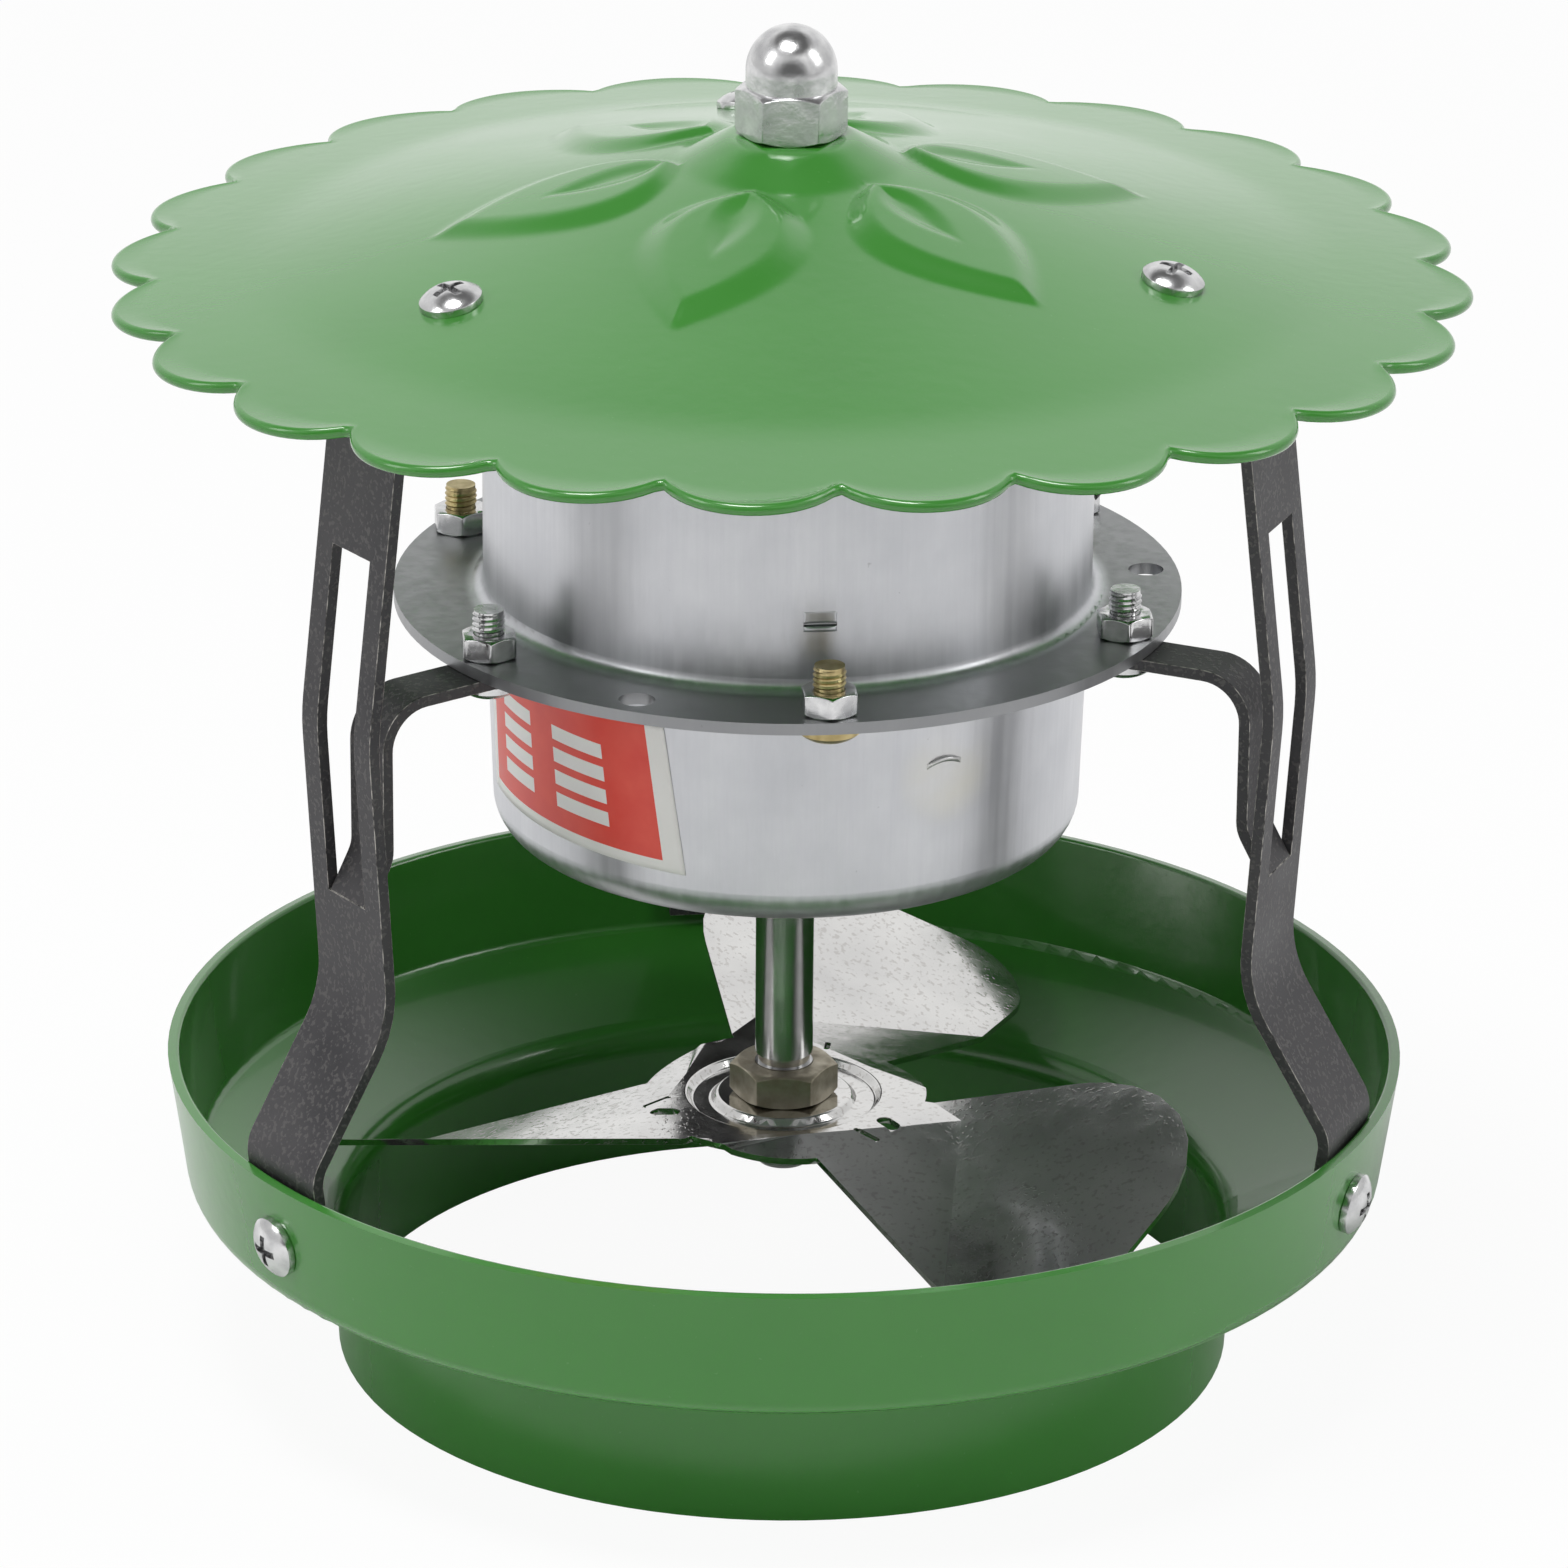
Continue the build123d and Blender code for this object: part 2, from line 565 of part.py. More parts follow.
def wave_washer():
    """Preload washer between the upper bearing and its boss."""
    z = UPPER_BEARING_Z + BEARING_W + SEAT_GAP
    return ring(BEARING_R - RACE_SHOULDER * 1.6, BEARING_R - STACK_GAP, z, z + WAVE_H)


# The shaft, from the upper bearing down to the fan's end nut
SHAFT_TOP_Z = UPPER_BEARING_Z + BEARING_W
SHAFT_END_Z = FAN_TOP_Z - SHAFT_END_DROP
CLIP_Z = [LOWER_BEARING_Z + BEARING_W + SEAT_GAP, UPPER_BEARING_Z - CLIP_H - SEAT_GAP]
CLIP_GROOVE_R = SHAFT_R * 0.9
NECK_Z = FAN_TOP_Z + M8_JAM_H


def motor_shaft():
    """Ground shaft with clip grooves, a thread relief and chamfered ends."""
    chamfer = SHAFT_R * 0.15
    shaft = turned(
        (0, SHAFT_END_Z), (SHAFT_R - chamfer, SHAFT_END_Z), (SHAFT_R, SHAFT_END_Z + chamfer),
        (SHAFT_R, SHAFT_TOP_Z - chamfer), (SHAFT_R - chamfer, SHAFT_TOP_Z), (0, SHAFT_TOP_Z),
    )
    relief = ring(CLIP_GROOVE_R, SHAFT_R * 2, NECK_Z + SEAT_GAP, NECK_Z + SEAT_GAP + SHAFT_R * 0.35)
    grooves = [ring(CLIP_GROOVE_R, SHAFT_R * 2, z - SEAT_GAP / 2, z + CLIP_H + SEAT_GAP / 2) for z in CLIP_Z]
    return shaft - [relief, *grooves]


def bearing_clips():
    """Open retaining rings in the shaft's grooves."""
    clips = []
    for z in CLIP_Z:
        body = ring(CLIP_GROOVE_R + THREAD_GAP, CLIP_GROOVE_R + CLIP_REACH, z, z + CLIP_H)
        gap = Pos(SHAFT_R + CLIP_REACH, 0, z) * Box(SHAFT_R * 2, SHAFT_R, CLIP_H * 4)
        clips.append(body - gap)
    return group(clips)


ROTOR_R = BORE_R - AIR_GAP
BAR_CIRCLE_R = ROTOR_R - CAGE_BAR_R * 2


def cage_bars(radius, length):
    """The cage's bars on their circle."""
    bar = Pos(BAR_CIRCLE_R, 0, JOINT_Z) * Cylinder(radius, length)
    return around([360 / CAGE_BARS * k for k in range(CAGE_BARS)], bar)


def rotor_core():
    """Rotor laminations with bar holes."""
    core = ring(SHAFT_R + THREAD_GAP / 2, ROTOR_R, STACK_BOTTOM_Z, STACK_TOP_Z)
    return core - cage_bars(CAGE_BAR_R + THREAD_GAP, STACK_H * 2)


def rotor_cage():
    """Cast cage: end rings and the bars between them."""
    r_out = ROTOR_R - SEAT_GAP
    upper = ring(r_out - CAGE_RING_W, r_out, STACK_TOP_Z, STACK_TOP_Z + CAGE_RING_H)
    lower = ring(r_out - CAGE_RING_W, r_out, STACK_BOTTOM_Z - CAGE_RING_H, STACK_BOTTOM_Z)
    return upper + lower + cage_bars(CAGE_BAR_R, STACK_H + CAGE_RING_H)


def fan_plan():
    """One blade's outline seen from above: a straight root that opens into a rounded paddle."""
    plan = make_face(Polyline(FAN_ROOT_LOW, FAN_TIP_LOW, FAN_TIP_HIGH, FAN_ROOT_HIGH, close=True))
    plan = fillet(plan.vertices().sort_by(Axis.Y)[-1], FAN_HIGH_CORNER_R)
    return fillet(plan.vertices().sort_by(Axis.X)[-1], FAN_LOW_CORNER_R)


def fan_folds():
    """The plan's two folded sides: where the sheet droops and where it is bent up."""
    far = FAN_TIP_LOW[0] * 2
    turn = radians(FAN_DROOP_TURN)
    fall = tan(radians(FAN_DROOP))
    rise = tan(radians(FAN_PITCH))
    meet_u = (FAN_DROOP_FOLD - FAN_PITCH_FOLD * sin(turn)) / cos(turn)
    crease = fall * cos(turn) / (rise - fall * sin(turn))
    drooped = Rot(0, 0, FAN_DROOP_TURN) * Pos(FAN_DROOP_FOLD + far / 2, 0) * Rectangle(far, far * 2)
    bent_up = make_face(
        Polyline(
            (-far, FAN_PITCH_FOLD), (meet_u, FAN_PITCH_FOLD), (meet_u + far, FAN_PITCH_FOLD - crease * far),
            (meet_u + far, far), (-far, far), close=True,
        )
    )
    return drooped, bent_up


def folded(region, fold, tilt):
    """A region of the plan on its tilted plane, one sheet thick along the shaft."""
    reach = FAN_TIP_LOW[0]
    thickness = FAN_SHEET * cos(radians(tilt))
    level = Pos(0, 0, -thickness / 2) * Box(reach * 4, reach * 4, thickness)
    return (fold * level) & (Pos(0, 0, FAN_TOP_Z - reach) * extrude(region, reach * 2))


def fan_blade():
    """One blade with the part of the hub that droops beside it."""
    plan = fan_plan()
    drooped, bent_up = fan_folds()
    lobe = plan - Circle((FAN_DROOP_FOLD + FAN_HUB_R) / 2) - drooped - bent_up
    tongue = ((plan + Circle(FAN_HUB_R)) & drooped) - bent_up
    droop_fold = Rot(0, 0, FAN_DROOP_TURN) * Pos(FAN_DROOP_FOLD, 0, FAN_TOP_Z) * Rot(0, FAN_DROOP, 0)
    pitch_fold = Pos(0, FAN_PITCH_FOLD, FAN_TOP_Z) * Rot(FAN_PITCH, 0, 0)
    flat = folded(lobe, Pos(0, 0, FAN_TOP_Z), 0)
    return flat + folded(tongue, droop_fold, FAN_DROOP) + folded(plan & bent_up, pitch_fold, FAN_PITCH)


def fan_impeller():
    """Hub plate with a pressed ring, three folded blades and small root holes."""
    under = FAN_TOP_Z - FAN_SHEET
    azimuths = [FAN_AZIMUTH + 360 / FAN_BLADES * k for k in range(FAN_BLADES)]
    ring_in = FAN_RING_R - FAN_RING_W / 2
    ring_out = FAN_RING_R + FAN_RING_W / 2
    bend = FAN_RING_DEPTH
    path = FilletPolyline(
        (SHAFT_R + THREAD_GAP, FAN_TOP_Z), (ring_in - bend / 2, FAN_TOP_Z),
        (ring_in + bend / 2, FAN_TOP_Z - bend), (ring_out - bend / 2, FAN_TOP_Z - bend),
        (ring_out + bend / 2, FAN_TOP_Z), (FAN_HUB_R, FAN_TOP_Z),
        radius=bend * 0.4,
    )
    hub = revolve(section(path, FAN_SHEET, Side.RIGHT), Axis.Z)
    beyond = Pos(0, 0, under) * extrude(fan_folds()[0], FAN_SHEET * 4, both=True)
    fan = hub - around(azimuths, beyond) + around(azimuths, fan_blade())
    oval = Pos(*FAN_HOLE_AT) * SlotOverall(FAN_HOLE_L, FAN_HOLE_W)
    slit = Pos(*FAN_SLIT_AT) * Rot(0, 0, FAN_PITCH) * SlotOverall(FAN_HOLE_L, FAN_SLIT_W)
    holes = Pos(0, 0, under) * extrude(oval + slit, FAN_SHEET * 4, both=True)
    return fan - around(azimuths, holes)


def acorn_nut():
    """Domed cap nut with a blind thread."""
    hexagon = hex_prism(M8_NUT_AF, ACORN_HEX_H)
    dome_base = ACORN_H - ACORN_DOME_R
    dome = Cylinder(ACORN_DOME_R, dome_base, align=(Align.CENTER, Align.CENTER, Align.MIN))
    dome = dome + Pos(0, 0, dome_base) * Sphere(ACORN_DOME_R)
    blind = Cylinder(M8_R + THREAD_GAP, dome_base, align=(Align.CENTER, Align.CENTER, Align.MIN))
    nut = hexagon + dome - blind
    return nut & Cylinder(M8_NUT_AF, ACORN_H, align=(Align.CENTER, Align.CENTER, Align.MIN))


CAP_UNDER_Z = APEX_Z - CAP_SHEET - SEAT_GAP
BOLT_HEAD_H = M8_JAM_H


def cap_bolt():
    """Hexagon bolt through the cap's boss into the acorn nut."""
    head_top = CAP_UNDER_Z - M8_WASHER_H - SEAT_GAP
    head = Pos(0, 0, head_top - BOLT_HEAD_H) * hex_prism(M8_NUT_AF, BOLT_HEAD_H)
    tip_z = APEX_Z + ACORN_H - ACORN_DOME_R * 2
    return head + ring(0, M8_R, head_top - BOLT_HEAD_H / 2, tip_z)


def nut_under(seat, depth):
    """A nut on a screw's shank, a stack below its seat."""
    return seat * Pos(0, 0, -depth - M4_NUT_H) * hex_nut(M4_NUT_AF, M4_NUT_H, M4_R)


def flange_bolt(seat_z):
    """A bolt from below through the flanges, at azimuth 0."""
    length = FLANGE_TOP_Z - seat_z + M4_NUT_H + M4_TAIL
    return Pos(BOLT_CIRCLE_R, 0, seat_z) * Rot(180, 0, 0) * pan_screw(length)


FLANGE_NUT = Pos(BOLT_CIRCLE_R, 0, FLANGE_TOP_Z) * hex_nut(M4_NUT_AF, M4_NUT_H, M4_R)
CAP_SCREW_L = CAP_STACK + M4_NUT_H + M4_R
WALL_SCREW_L = WALL_STACK + M4_R / 2
TONGUE_UNDER_Z = FLANGE_UNDER_Z - SEAT_GAP - LEG_SHEET
FAN_UNDER_Z = FAN_TOP_Z - FAN_SHEET
END_NUT_Z = FAN_UNDER_Z - M8_WASHER_H - M8_JAM_H

place("flue_bowl", flue_bowl())
place("rain_cap", rain_cap())
LEG = leg()
for name, azimuth in zip(LEG_NAMES, LEG_AZIMUTHS):
    place(name, Rot(0, 0, azimuth) * LEG)
place("bowl_screws", group(around(LEG_AZIMUTHS, WALL_SCREW_SEAT * pan_screw(WALL_SCREW_L))))
place("cap_screws", group(around(LEG_AZIMUTHS, CAP_SCREW_SEAT * pan_screw(CAP_SCREW_L))))
place("cap_screw_nuts", group(around(LEG_AZIMUTHS, nut_under(CAP_SCREW_SEAT, CAP_STACK))))
place("acorn_nut", Pos(0, 0, APEX_Z) * acorn_nut())
place("cap_bolt", cap_bolt())
place("cap_bolt_washer", ring(M8_R + THREAD_GAP, M8_WASHER_R, CAP_UNDER_Z - M8_WASHER_H, CAP_UNDER_Z))
place("motor_upper_cover", motor_upper_cover())
place("motor_lower_cover", motor_lower_cover())
place("case_bolts", group(around(CASE_BOLT_AZIMUTHS, flange_bolt(FLANGE_UNDER_Z))))
place("case_nuts", group(around(CASE_BOLT_AZIMUTHS, FLANGE_NUT)))
place("leg_bolts", group(around(LEG_AZIMUTHS, flange_bolt(TONGUE_UNDER_Z))))
place("leg_nuts", group(around(LEG_AZIMUTHS, FLANGE_NUT)))
place("cable_grommet", cable_grommet())
place("stator_core", stator_core())
place("stator_windings", stator_windings())
for name, height in (("lower_bearing", LOWER_BEARING_Z), ("upper_bearing", UPPER_BEARING_Z)):
    outer_ring, inner_ring = bearing_rings(height)
    place(name + "_outer", outer_ring)
    place(name + "_inner", inner_ring)
place("bearing_balls", bearing_balls())
place("wave_washer", wave_washer())
place("motor_shaft", motor_shaft())
place("bearing_clips", bearing_clips())
place("rotor_core", rotor_core())
place("rotor_cage", rotor_cage())
place("fan_impeller", fan_impeller())
place("fan_lock_nut", Pos(0, 0, FAN_TOP_Z) * hex_nut(M8_NUT_AF, M8_JAM_H, M8_R))
place("fan_washer", ring(M8_R + THREAD_GAP, M8_WASHER_R, FAN_UNDER_Z - M8_WASHER_H, FAN_UNDER_Z))
place("fan_end_nut", Pos(0, 0, END_NUT_Z) * hex_nut(M8_NUT_AF, M8_JAM_H, M8_R))
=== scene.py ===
import json
import math

import bmesh
import bpy
import numpy as np
from mathutils import Matrix, Vector
from mathutils.geometry import delaunay_2d_cdt


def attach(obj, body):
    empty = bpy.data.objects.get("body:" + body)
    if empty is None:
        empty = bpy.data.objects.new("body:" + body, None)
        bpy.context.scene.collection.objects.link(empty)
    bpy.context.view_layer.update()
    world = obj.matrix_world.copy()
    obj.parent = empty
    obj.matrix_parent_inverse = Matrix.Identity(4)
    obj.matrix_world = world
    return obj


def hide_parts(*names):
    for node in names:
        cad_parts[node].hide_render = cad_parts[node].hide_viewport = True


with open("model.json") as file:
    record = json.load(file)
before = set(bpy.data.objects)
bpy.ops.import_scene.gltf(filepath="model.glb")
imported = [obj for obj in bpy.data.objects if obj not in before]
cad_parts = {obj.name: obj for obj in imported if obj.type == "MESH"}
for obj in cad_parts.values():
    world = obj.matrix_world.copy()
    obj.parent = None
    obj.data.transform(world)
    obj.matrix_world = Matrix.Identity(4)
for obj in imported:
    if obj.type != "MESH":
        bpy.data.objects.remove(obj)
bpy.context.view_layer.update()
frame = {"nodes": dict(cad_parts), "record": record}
NODES = frame["nodes"]
MM = 0.001


# Heights and radii repeated from the part, in millimetres
LEG_AZIMUTHS = (216.5, 336.5, 96.5)
CASE_AZIMUTHS = (276.5, 36.5, 156.5)
APEX_Z = 173.9
BOSS_FOOT_Z = 170.3
CREASE_Z = 156.7
BRIM_Z = 153.9
CAP_SHEET = 1.2
JOINT_Z = 109.9
FLANGE_TOP_Z = 110.7
BOLT_CIRCLE_R = 49.0
UPPER_CAN_R = 41.2
LOWER_CAN_R, LOWER_CAN_DRAFT, LOWER_CAN_H = 40.9, 1.1, 32.9
LOWER_CAN_TOP_Z = FLANGE_TOP_Z - 1.6


def polar(radius, turn):
    """A point on a circle, its turn in radians."""
    return radius * math.cos(turn), radius * math.sin(turn)


# Shader tools
def new_material(name):
    material = bpy.data.materials.new(name)
    material.use_nodes = True
    tree = material.node_tree
    shader = tree.nodes["Principled BSDF"]
    return material, tree, shader


def node(tree, kind, **values):
    made = tree.nodes.new(kind)
    for key, value in values.items():
        setattr(made, key, value)
    return made


def link(tree, source, target):
    tree.links.new(source, target)


def new_group(name, inputs, outputs):
    """An empty node group with its sockets, its input node and its output node."""
    tree = bpy.data.node_groups.new(name, "ShaderNodeTree")
    for label, kind, default in inputs:
        socket = tree.interface.new_socket(label, in_out="INPUT", socket_type=kind)
        if default is not None:
            socket.default_value = default
    for label, kind in outputs:
        tree.interface.new_socket(label, in_out="OUTPUT", socket_type=kind)
    return tree, tree.nodes.new("NodeGroupInput"), tree.nodes.new("NodeGroupOutput")


FLOAT, VECTOR = "NodeSocketFloat", "NodeSocketVector"
SPECK_EDGE, SPECK_SHARPNESS = 0.78, 14.0


def remap(tree, value, low, high, to_low=0.0, to_high=1.0):
    ranged = node(tree, "ShaderNodeMapRange", interpolation_type="SMOOTHSTEP")
    ranged.inputs["From Min"].default_value = low
    ranged.inputs["From Max"].default_value = high
    ranged.inputs["To Min"].default_value = to_low
    ranged.inputs["To Max"].default_value = to_high
    link(tree, value, ranged.inputs["Value"])
    return ranged.outputs["Result"]


def math_node(tree, operation, first, second):
    made = node(tree, "ShaderNodeMath", operation=operation)
    for socket, value in zip(made.inputs, (first, second)):
        if isinstance(value, (int, float)):
            socket.default_value = value
        else:
            link(tree, value, socket)
    return made.outputs[0]


def mix_color(tree, factor, first, second, blend="MIX"):
    made = node(tree, "ShaderNodeMix", data_type="RGBA", blend_type=blend)
    for socket, value in ((made.inputs[0], factor), (made.inputs[6], first), (made.inputs[7], second)):
        if isinstance(value, (int, float, tuple)):
            socket.default_value = value
        else:
            link(tree, value, socket)
    return made.outputs[2]


def group_specks():
    """Fine grains scattered over a surface."""
    inputs = [("Vector", VECTOR, None), ("Scale", FLOAT, 900.0), ("Amount", FLOAT, 0.3)]
    tree, given, result = new_group("Specks", inputs, [("Mask", FLOAT)])
    noise = node(tree, "ShaderNodeTexNoise")
    noise.inputs["Detail"].default_value = 2.0
    link(tree, given.outputs["Vector"], noise.inputs["Vector"])
    link(tree, given.outputs["Scale"], noise.inputs["Scale"])
    share = math_node(tree, "MULTIPLY", given.outputs["Amount"], 0.5)
    edge = math_node(tree, "SUBTRACT", SPECK_EDGE, share)
    above = math_node(tree, "SUBTRACT", noise.outputs["Fac"], edge)
    mask = node(tree, "ShaderNodeClamp")
    link(tree, math_node(tree, "MULTIPLY", above, SPECK_SHARPNESS), mask.inputs["Value"])
    link(tree, mask.outputs[0], result.inputs["Mask"])
    return tree


def spread(tree, value, contrast):
    """A noise value spread about its middle and kept between 0 and 1."""
    centred = math_node(tree, "SUBTRACT", value, 0.5)
    wide = math_node(tree, "MULTIPLY", centred, contrast)
    clamp = node(tree, "ShaderNodeClamp")
    link(tree, math_node(tree, "ADD", wide, 0.5), clamp.inputs["Value"])
    return clamp.outputs[0]


def group_blotches():
    """Slow cloudy variation."""
    inputs = [("Vector", VECTOR, None), ("Scale", FLOAT, 40.0), ("Contrast", FLOAT, 2.0)]
    tree, given, result = new_group("Blotches", inputs, [("Value", FLOAT)])
    noise = node(tree, "ShaderNodeTexNoise")
    noise.inputs["Detail"].default_value = 4.0
    link(tree, given.outputs["Vector"], noise.inputs["Vector"])
    link(tree, given.outputs["Scale"], noise.inputs["Scale"])
    link(tree, spread(tree, noise.outputs["Fac"], given.outputs["Contrast"]), result.inputs["Value"])
    return tree


def group_streaks():
    """Drawn or brushed lines along one axis: the stretch squeezes the noise across them."""
    stretch = ("Stretch", VECTOR, (900.0, 900.0, 12.0))
    inputs = [("Vector", VECTOR, None), stretch, ("Contrast", FLOAT, 1.6)]
    tree, given, result = new_group("Streaks", inputs, [("Value", FLOAT)])
    scaled = node(tree, "ShaderNodeVectorMath", operation="MULTIPLY")
    link(tree, given.outputs["Vector"], scaled.inputs[0])
    link(tree, given.outputs["Stretch"], scaled.inputs[1])
    noise = node(tree, "ShaderNodeTexNoise")
    noise.inputs["Scale"].default_value = 1.0
    noise.inputs["Detail"].default_value = 3.0
    link(tree, scaled.outputs[0], noise.inputs["Vector"])
    link(tree, spread(tree, noise.outputs["Fac"], given.outputs["Contrast"]), result.inputs["Value"])
    return tree


SPECKS = group_specks()
BLOTCHES = group_blotches()
STREAKS = group_streaks()


def place_group(tree, group, vector, **values):
    made = node(tree, "ShaderNodeGroup")
    made.node_tree = group
    link(tree, vector, made.inputs["Vector"])
    for label, value in values.items():
        made.inputs[label].default_value = value
    return made.outputs[0]


def lay(tree, base, mask, share, colour):
    """A colour over the base where a mask shows, at a share of its strength."""
    return mix_color(tree, math_node(tree, "MULTIPLY", mask, share), base, colour)


def object_coords(tree):
    return node(tree, "ShaderNodeTexCoord").outputs["Object"]


def bump(tree, shader, height, strength, distance):
    made = node(tree, "ShaderNodeBump")
    made.inputs["Strength"].default_value = strength
    made.inputs["Distance"].default_value = distance
    link(tree, height, made.inputs["Height"])
    link(tree, made.outputs["Normal"], shader.inputs["Normal"])


def green_paint():
    material, tree, shader = new_material("green_paint_gloss")
    coords = object_coords(tree)
    clouds = place_group(tree, BLOTCHES, coords, Scale=38.0, Contrast=1.4)
    dust = place_group(tree, SPECKS, coords, Scale=1500.0, Amount=0.12)
    base = mix_color(tree, clouds, (0.040, 0.226, 0.026, 1), (0.050, 0.256, 0.034, 1))
    base = lay(tree, base, dust, 0.25, (0.14, 0.38, 0.11, 1))
    link(tree, base, shader.inputs["Base Color"])
    link(tree, remap(tree, clouds, 0, 1, 0.20, 0.27), shader.inputs["Roughness"])
    shader.inputs["Coat Weight"].default_value = 0.5
    shader.inputs["Coat Roughness"].default_value = 0.07
    peel = place_group(tree, BLOTCHES, coords, Scale=420.0, Contrast=1.0)
    bump(tree, shader, peel, 0.10, 0.0004)
    return material


def raw_steel():
    material, tree, shader = new_material("strap_steel_dark")
    coords = object_coords(tree)
    clouds = place_group(tree, BLOTCHES, coords, Scale=90.0, Contrast=2.0)
    grain = place_group(tree, SPECKS, coords, Scale=1500.0, Amount=0.46)
    base = mix_color(tree, clouds, (0.040, 0.039, 0.043, 1), (0.088, 0.085, 0.089, 1))
    base = lay(tree, base, grain, 0.28, (0.21, 0.20, 0.19, 1))
    link(tree, base, shader.inputs["Base Color"])
    shader.inputs["Metallic"].default_value = 0.55
    link(tree, remap(tree, clouds, 0, 1, 0.42, 0.58), shader.inputs["Roughness"])
    bump(tree, shader, grain, 0.25, 0.0003)
    return material


GLUE_AZIMUTH, GLUE_R, GLUE_Z = 302.0, 40.5, 96.5
GLUE_CORE, GLUE_EDGE = 3.0, 8.5
FLANGE_SHADE_IN, FLANGE_SHADE_OUT = 42.5, 44.0


def galvanised():
    material, tree, shader = new_material("galvanised_sheet")
    coords = object_coords(tree)
    streaks = place_group(tree, STREAKS, coords, Stretch=(700.0, 700.0, 22.0), Contrast=1.5)
    clouds = place_group(tree, BLOTCHES, coords, Scale=85.0, Contrast=2.4)
    pits = place_group(tree, SPECKS, coords, Scale=700.0, Amount=0.05)
    base = mix_color(tree, streaks, (0.56, 0.565, 0.590, 1), (0.76, 0.765, 0.790, 1))
    base = lay(tree, base, clouds, 0.55, (0.49, 0.50, 0.53, 1))
    base = lay(tree, base, pits, 0.5, (0.20, 0.20, 0.21, 1))
    glue = node(tree, "ShaderNodeVectorMath", operation="DISTANCE")
    link(tree, coords, glue.inputs[0])
    glue.inputs[1].default_value = (*polar(GLUE_R * MM, math.radians(GLUE_AZIMUTH)), GLUE_Z * MM)
    patch = remap(tree, glue.outputs["Value"], GLUE_CORE * MM, GLUE_EDGE * MM, 1.0, 0.0)
    patch = math_node(tree, "MULTIPLY", patch, clouds)
    base = lay(tree, base, patch, 0.5, (0.74, 0.71, 0.58, 1))
    split = node(tree, "ShaderNodeSeparateXYZ")
    link(tree, coords, split.inputs[0])
    flat = node(tree, "ShaderNodeCombineXYZ")
    link(tree, split.outputs["X"], flat.inputs["X"])
    link(tree, split.outputs["Y"], flat.inputs["Y"])
    away = node(tree, "ShaderNodeVectorMath", operation="LENGTH")
    link(tree, flat.outputs[0], away.inputs[0])
    # Painted shade: the flange beyond the cans' wall, under the cap, is darkened towards dark grey
    flange_shade = remap(tree, away.outputs["Value"], FLANGE_SHADE_IN * MM, FLANGE_SHADE_OUT * MM)
    base = lay(tree, base, flange_shade, 0.70, (0.175, 0.178, 0.180, 1))
    link(tree, base, shader.inputs["Base Color"])
    shader.inputs["Metallic"].default_value = 0.92
    link(tree, remap(tree, streaks, 0, 1, 0.32, 0.44), shader.inputs["Roughness"])
    bump(tree, shader, streaks, 0.07, 0.0003)
    return material


def plated(name, pale, dark, low, high, metallic=1.0, relief=0.12):
    """Plated or ground metal: pale to dark over fine clouds."""
    material, tree, shader = new_material(name)
    coords = object_coords(tree)
    clouds = place_group(tree, BLOTCHES, coords, Scale=420.0, Contrast=2.2)
    base = mix_color(tree, clouds, dark, pale)
    link(tree, base, shader.inputs["Base Color"])
    shader.inputs["Metallic"].default_value = metallic
    link(tree, remap(tree, clouds, 0, 1, high, low), shader.inputs["Roughness"])
    bump(tree, shader, clouds, relief, 0.0002)
    return material


def fan_sheet():
    material, tree, shader = new_material("fan_sheet_bright")
    coords = object_coords(tree)
    clouds = place_group(tree, BLOTCHES, coords, Scale=70.0, Contrast=2.0)
    grain = place_group(tree, SPECKS, coords, Scale=1250.0, Amount=0.42)
    grit = place_group(tree, SPECKS, coords, Scale=420.0, Amount=0.10)
    base = mix_color(tree, clouds, (0.58, 0.575, 0.57, 1), (0.72, 0.715, 0.70, 1))
    base = lay(tree, base, grain, 0.5, (0.42, 0.40, 0.38, 1))
    base = lay(tree, base, grit, 0.6, (0.30, 0.28, 0.26, 1))
    link(tree, base, shader.inputs["Base Color"])
    shader.inputs["Metallic"].default_value = 1.0
    worn = place_group(tree, BLOTCHES, coords, Scale=240.0, Contrast=3.0)
    link(tree, remap(tree, worn, 0, 1, 0.09, 0.17), shader.inputs["Roughness"])
    bump(tree, shader, grain, 0.05, 0.0002)
    return material


def rubber():
    material, tree, shader = new_material("grommet_rubber")
    coords = object_coords(tree)
    clouds = place_group(tree, BLOTCHES, coords, Scale=300.0, Contrast=1.6)
    base = mix_color(tree, clouds, (0.012, 0.012, 0.012, 1), (0.024, 0.024, 0.025, 1))
    link(tree, base, shader.inputs["Base Color"])
    link(tree, remap(tree, clouds, 0, 1, 0.5, 0.66), shader.inputs["Roughness"])
    return material


def light_strap_edge():
    """Cut edges of the straps, patchily lighter than their faces."""
    material, tree, shader = new_material("strap_steel_edge")
    coords = object_coords(tree)
    grain = place_group(tree, BLOTCHES, coords, Scale=900.0, Contrast=4.0)
    base = mix_color(tree, grain, (0.06, 0.058, 0.058, 1), (0.46, 0.44, 0.41, 1))
    link(tree, base, shader.inputs["Base Color"])
    shader.inputs["Metallic"].default_value = 0.7
    link(tree, remap(tree, grain, 0, 1, 0.55, 0.36), shader.inputs["Roughness"])
    return material


def inside(tree, value, low, high):
    """1 where a value lies between two bounds."""
    above = math_node(tree, "GREATER_THAN", value, low)
    return math_node(tree, "MULTIPLY", above, math_node(tree, "LESS_THAN", value, high))


# Shares of the label's width and height
FIELD_U, FIELD_V = (0.045, 0.925), (0.075, 0.985)
ROWS_V, ROWS_PER_HEIGHT, BOX_IN_ROW = (0.185, 0.79), 6.6, (0.16, 0.80)
BOXES_LEFT_U, BOXES_RIGHT_U = (0.15, 0.36), (0.49, 0.73)


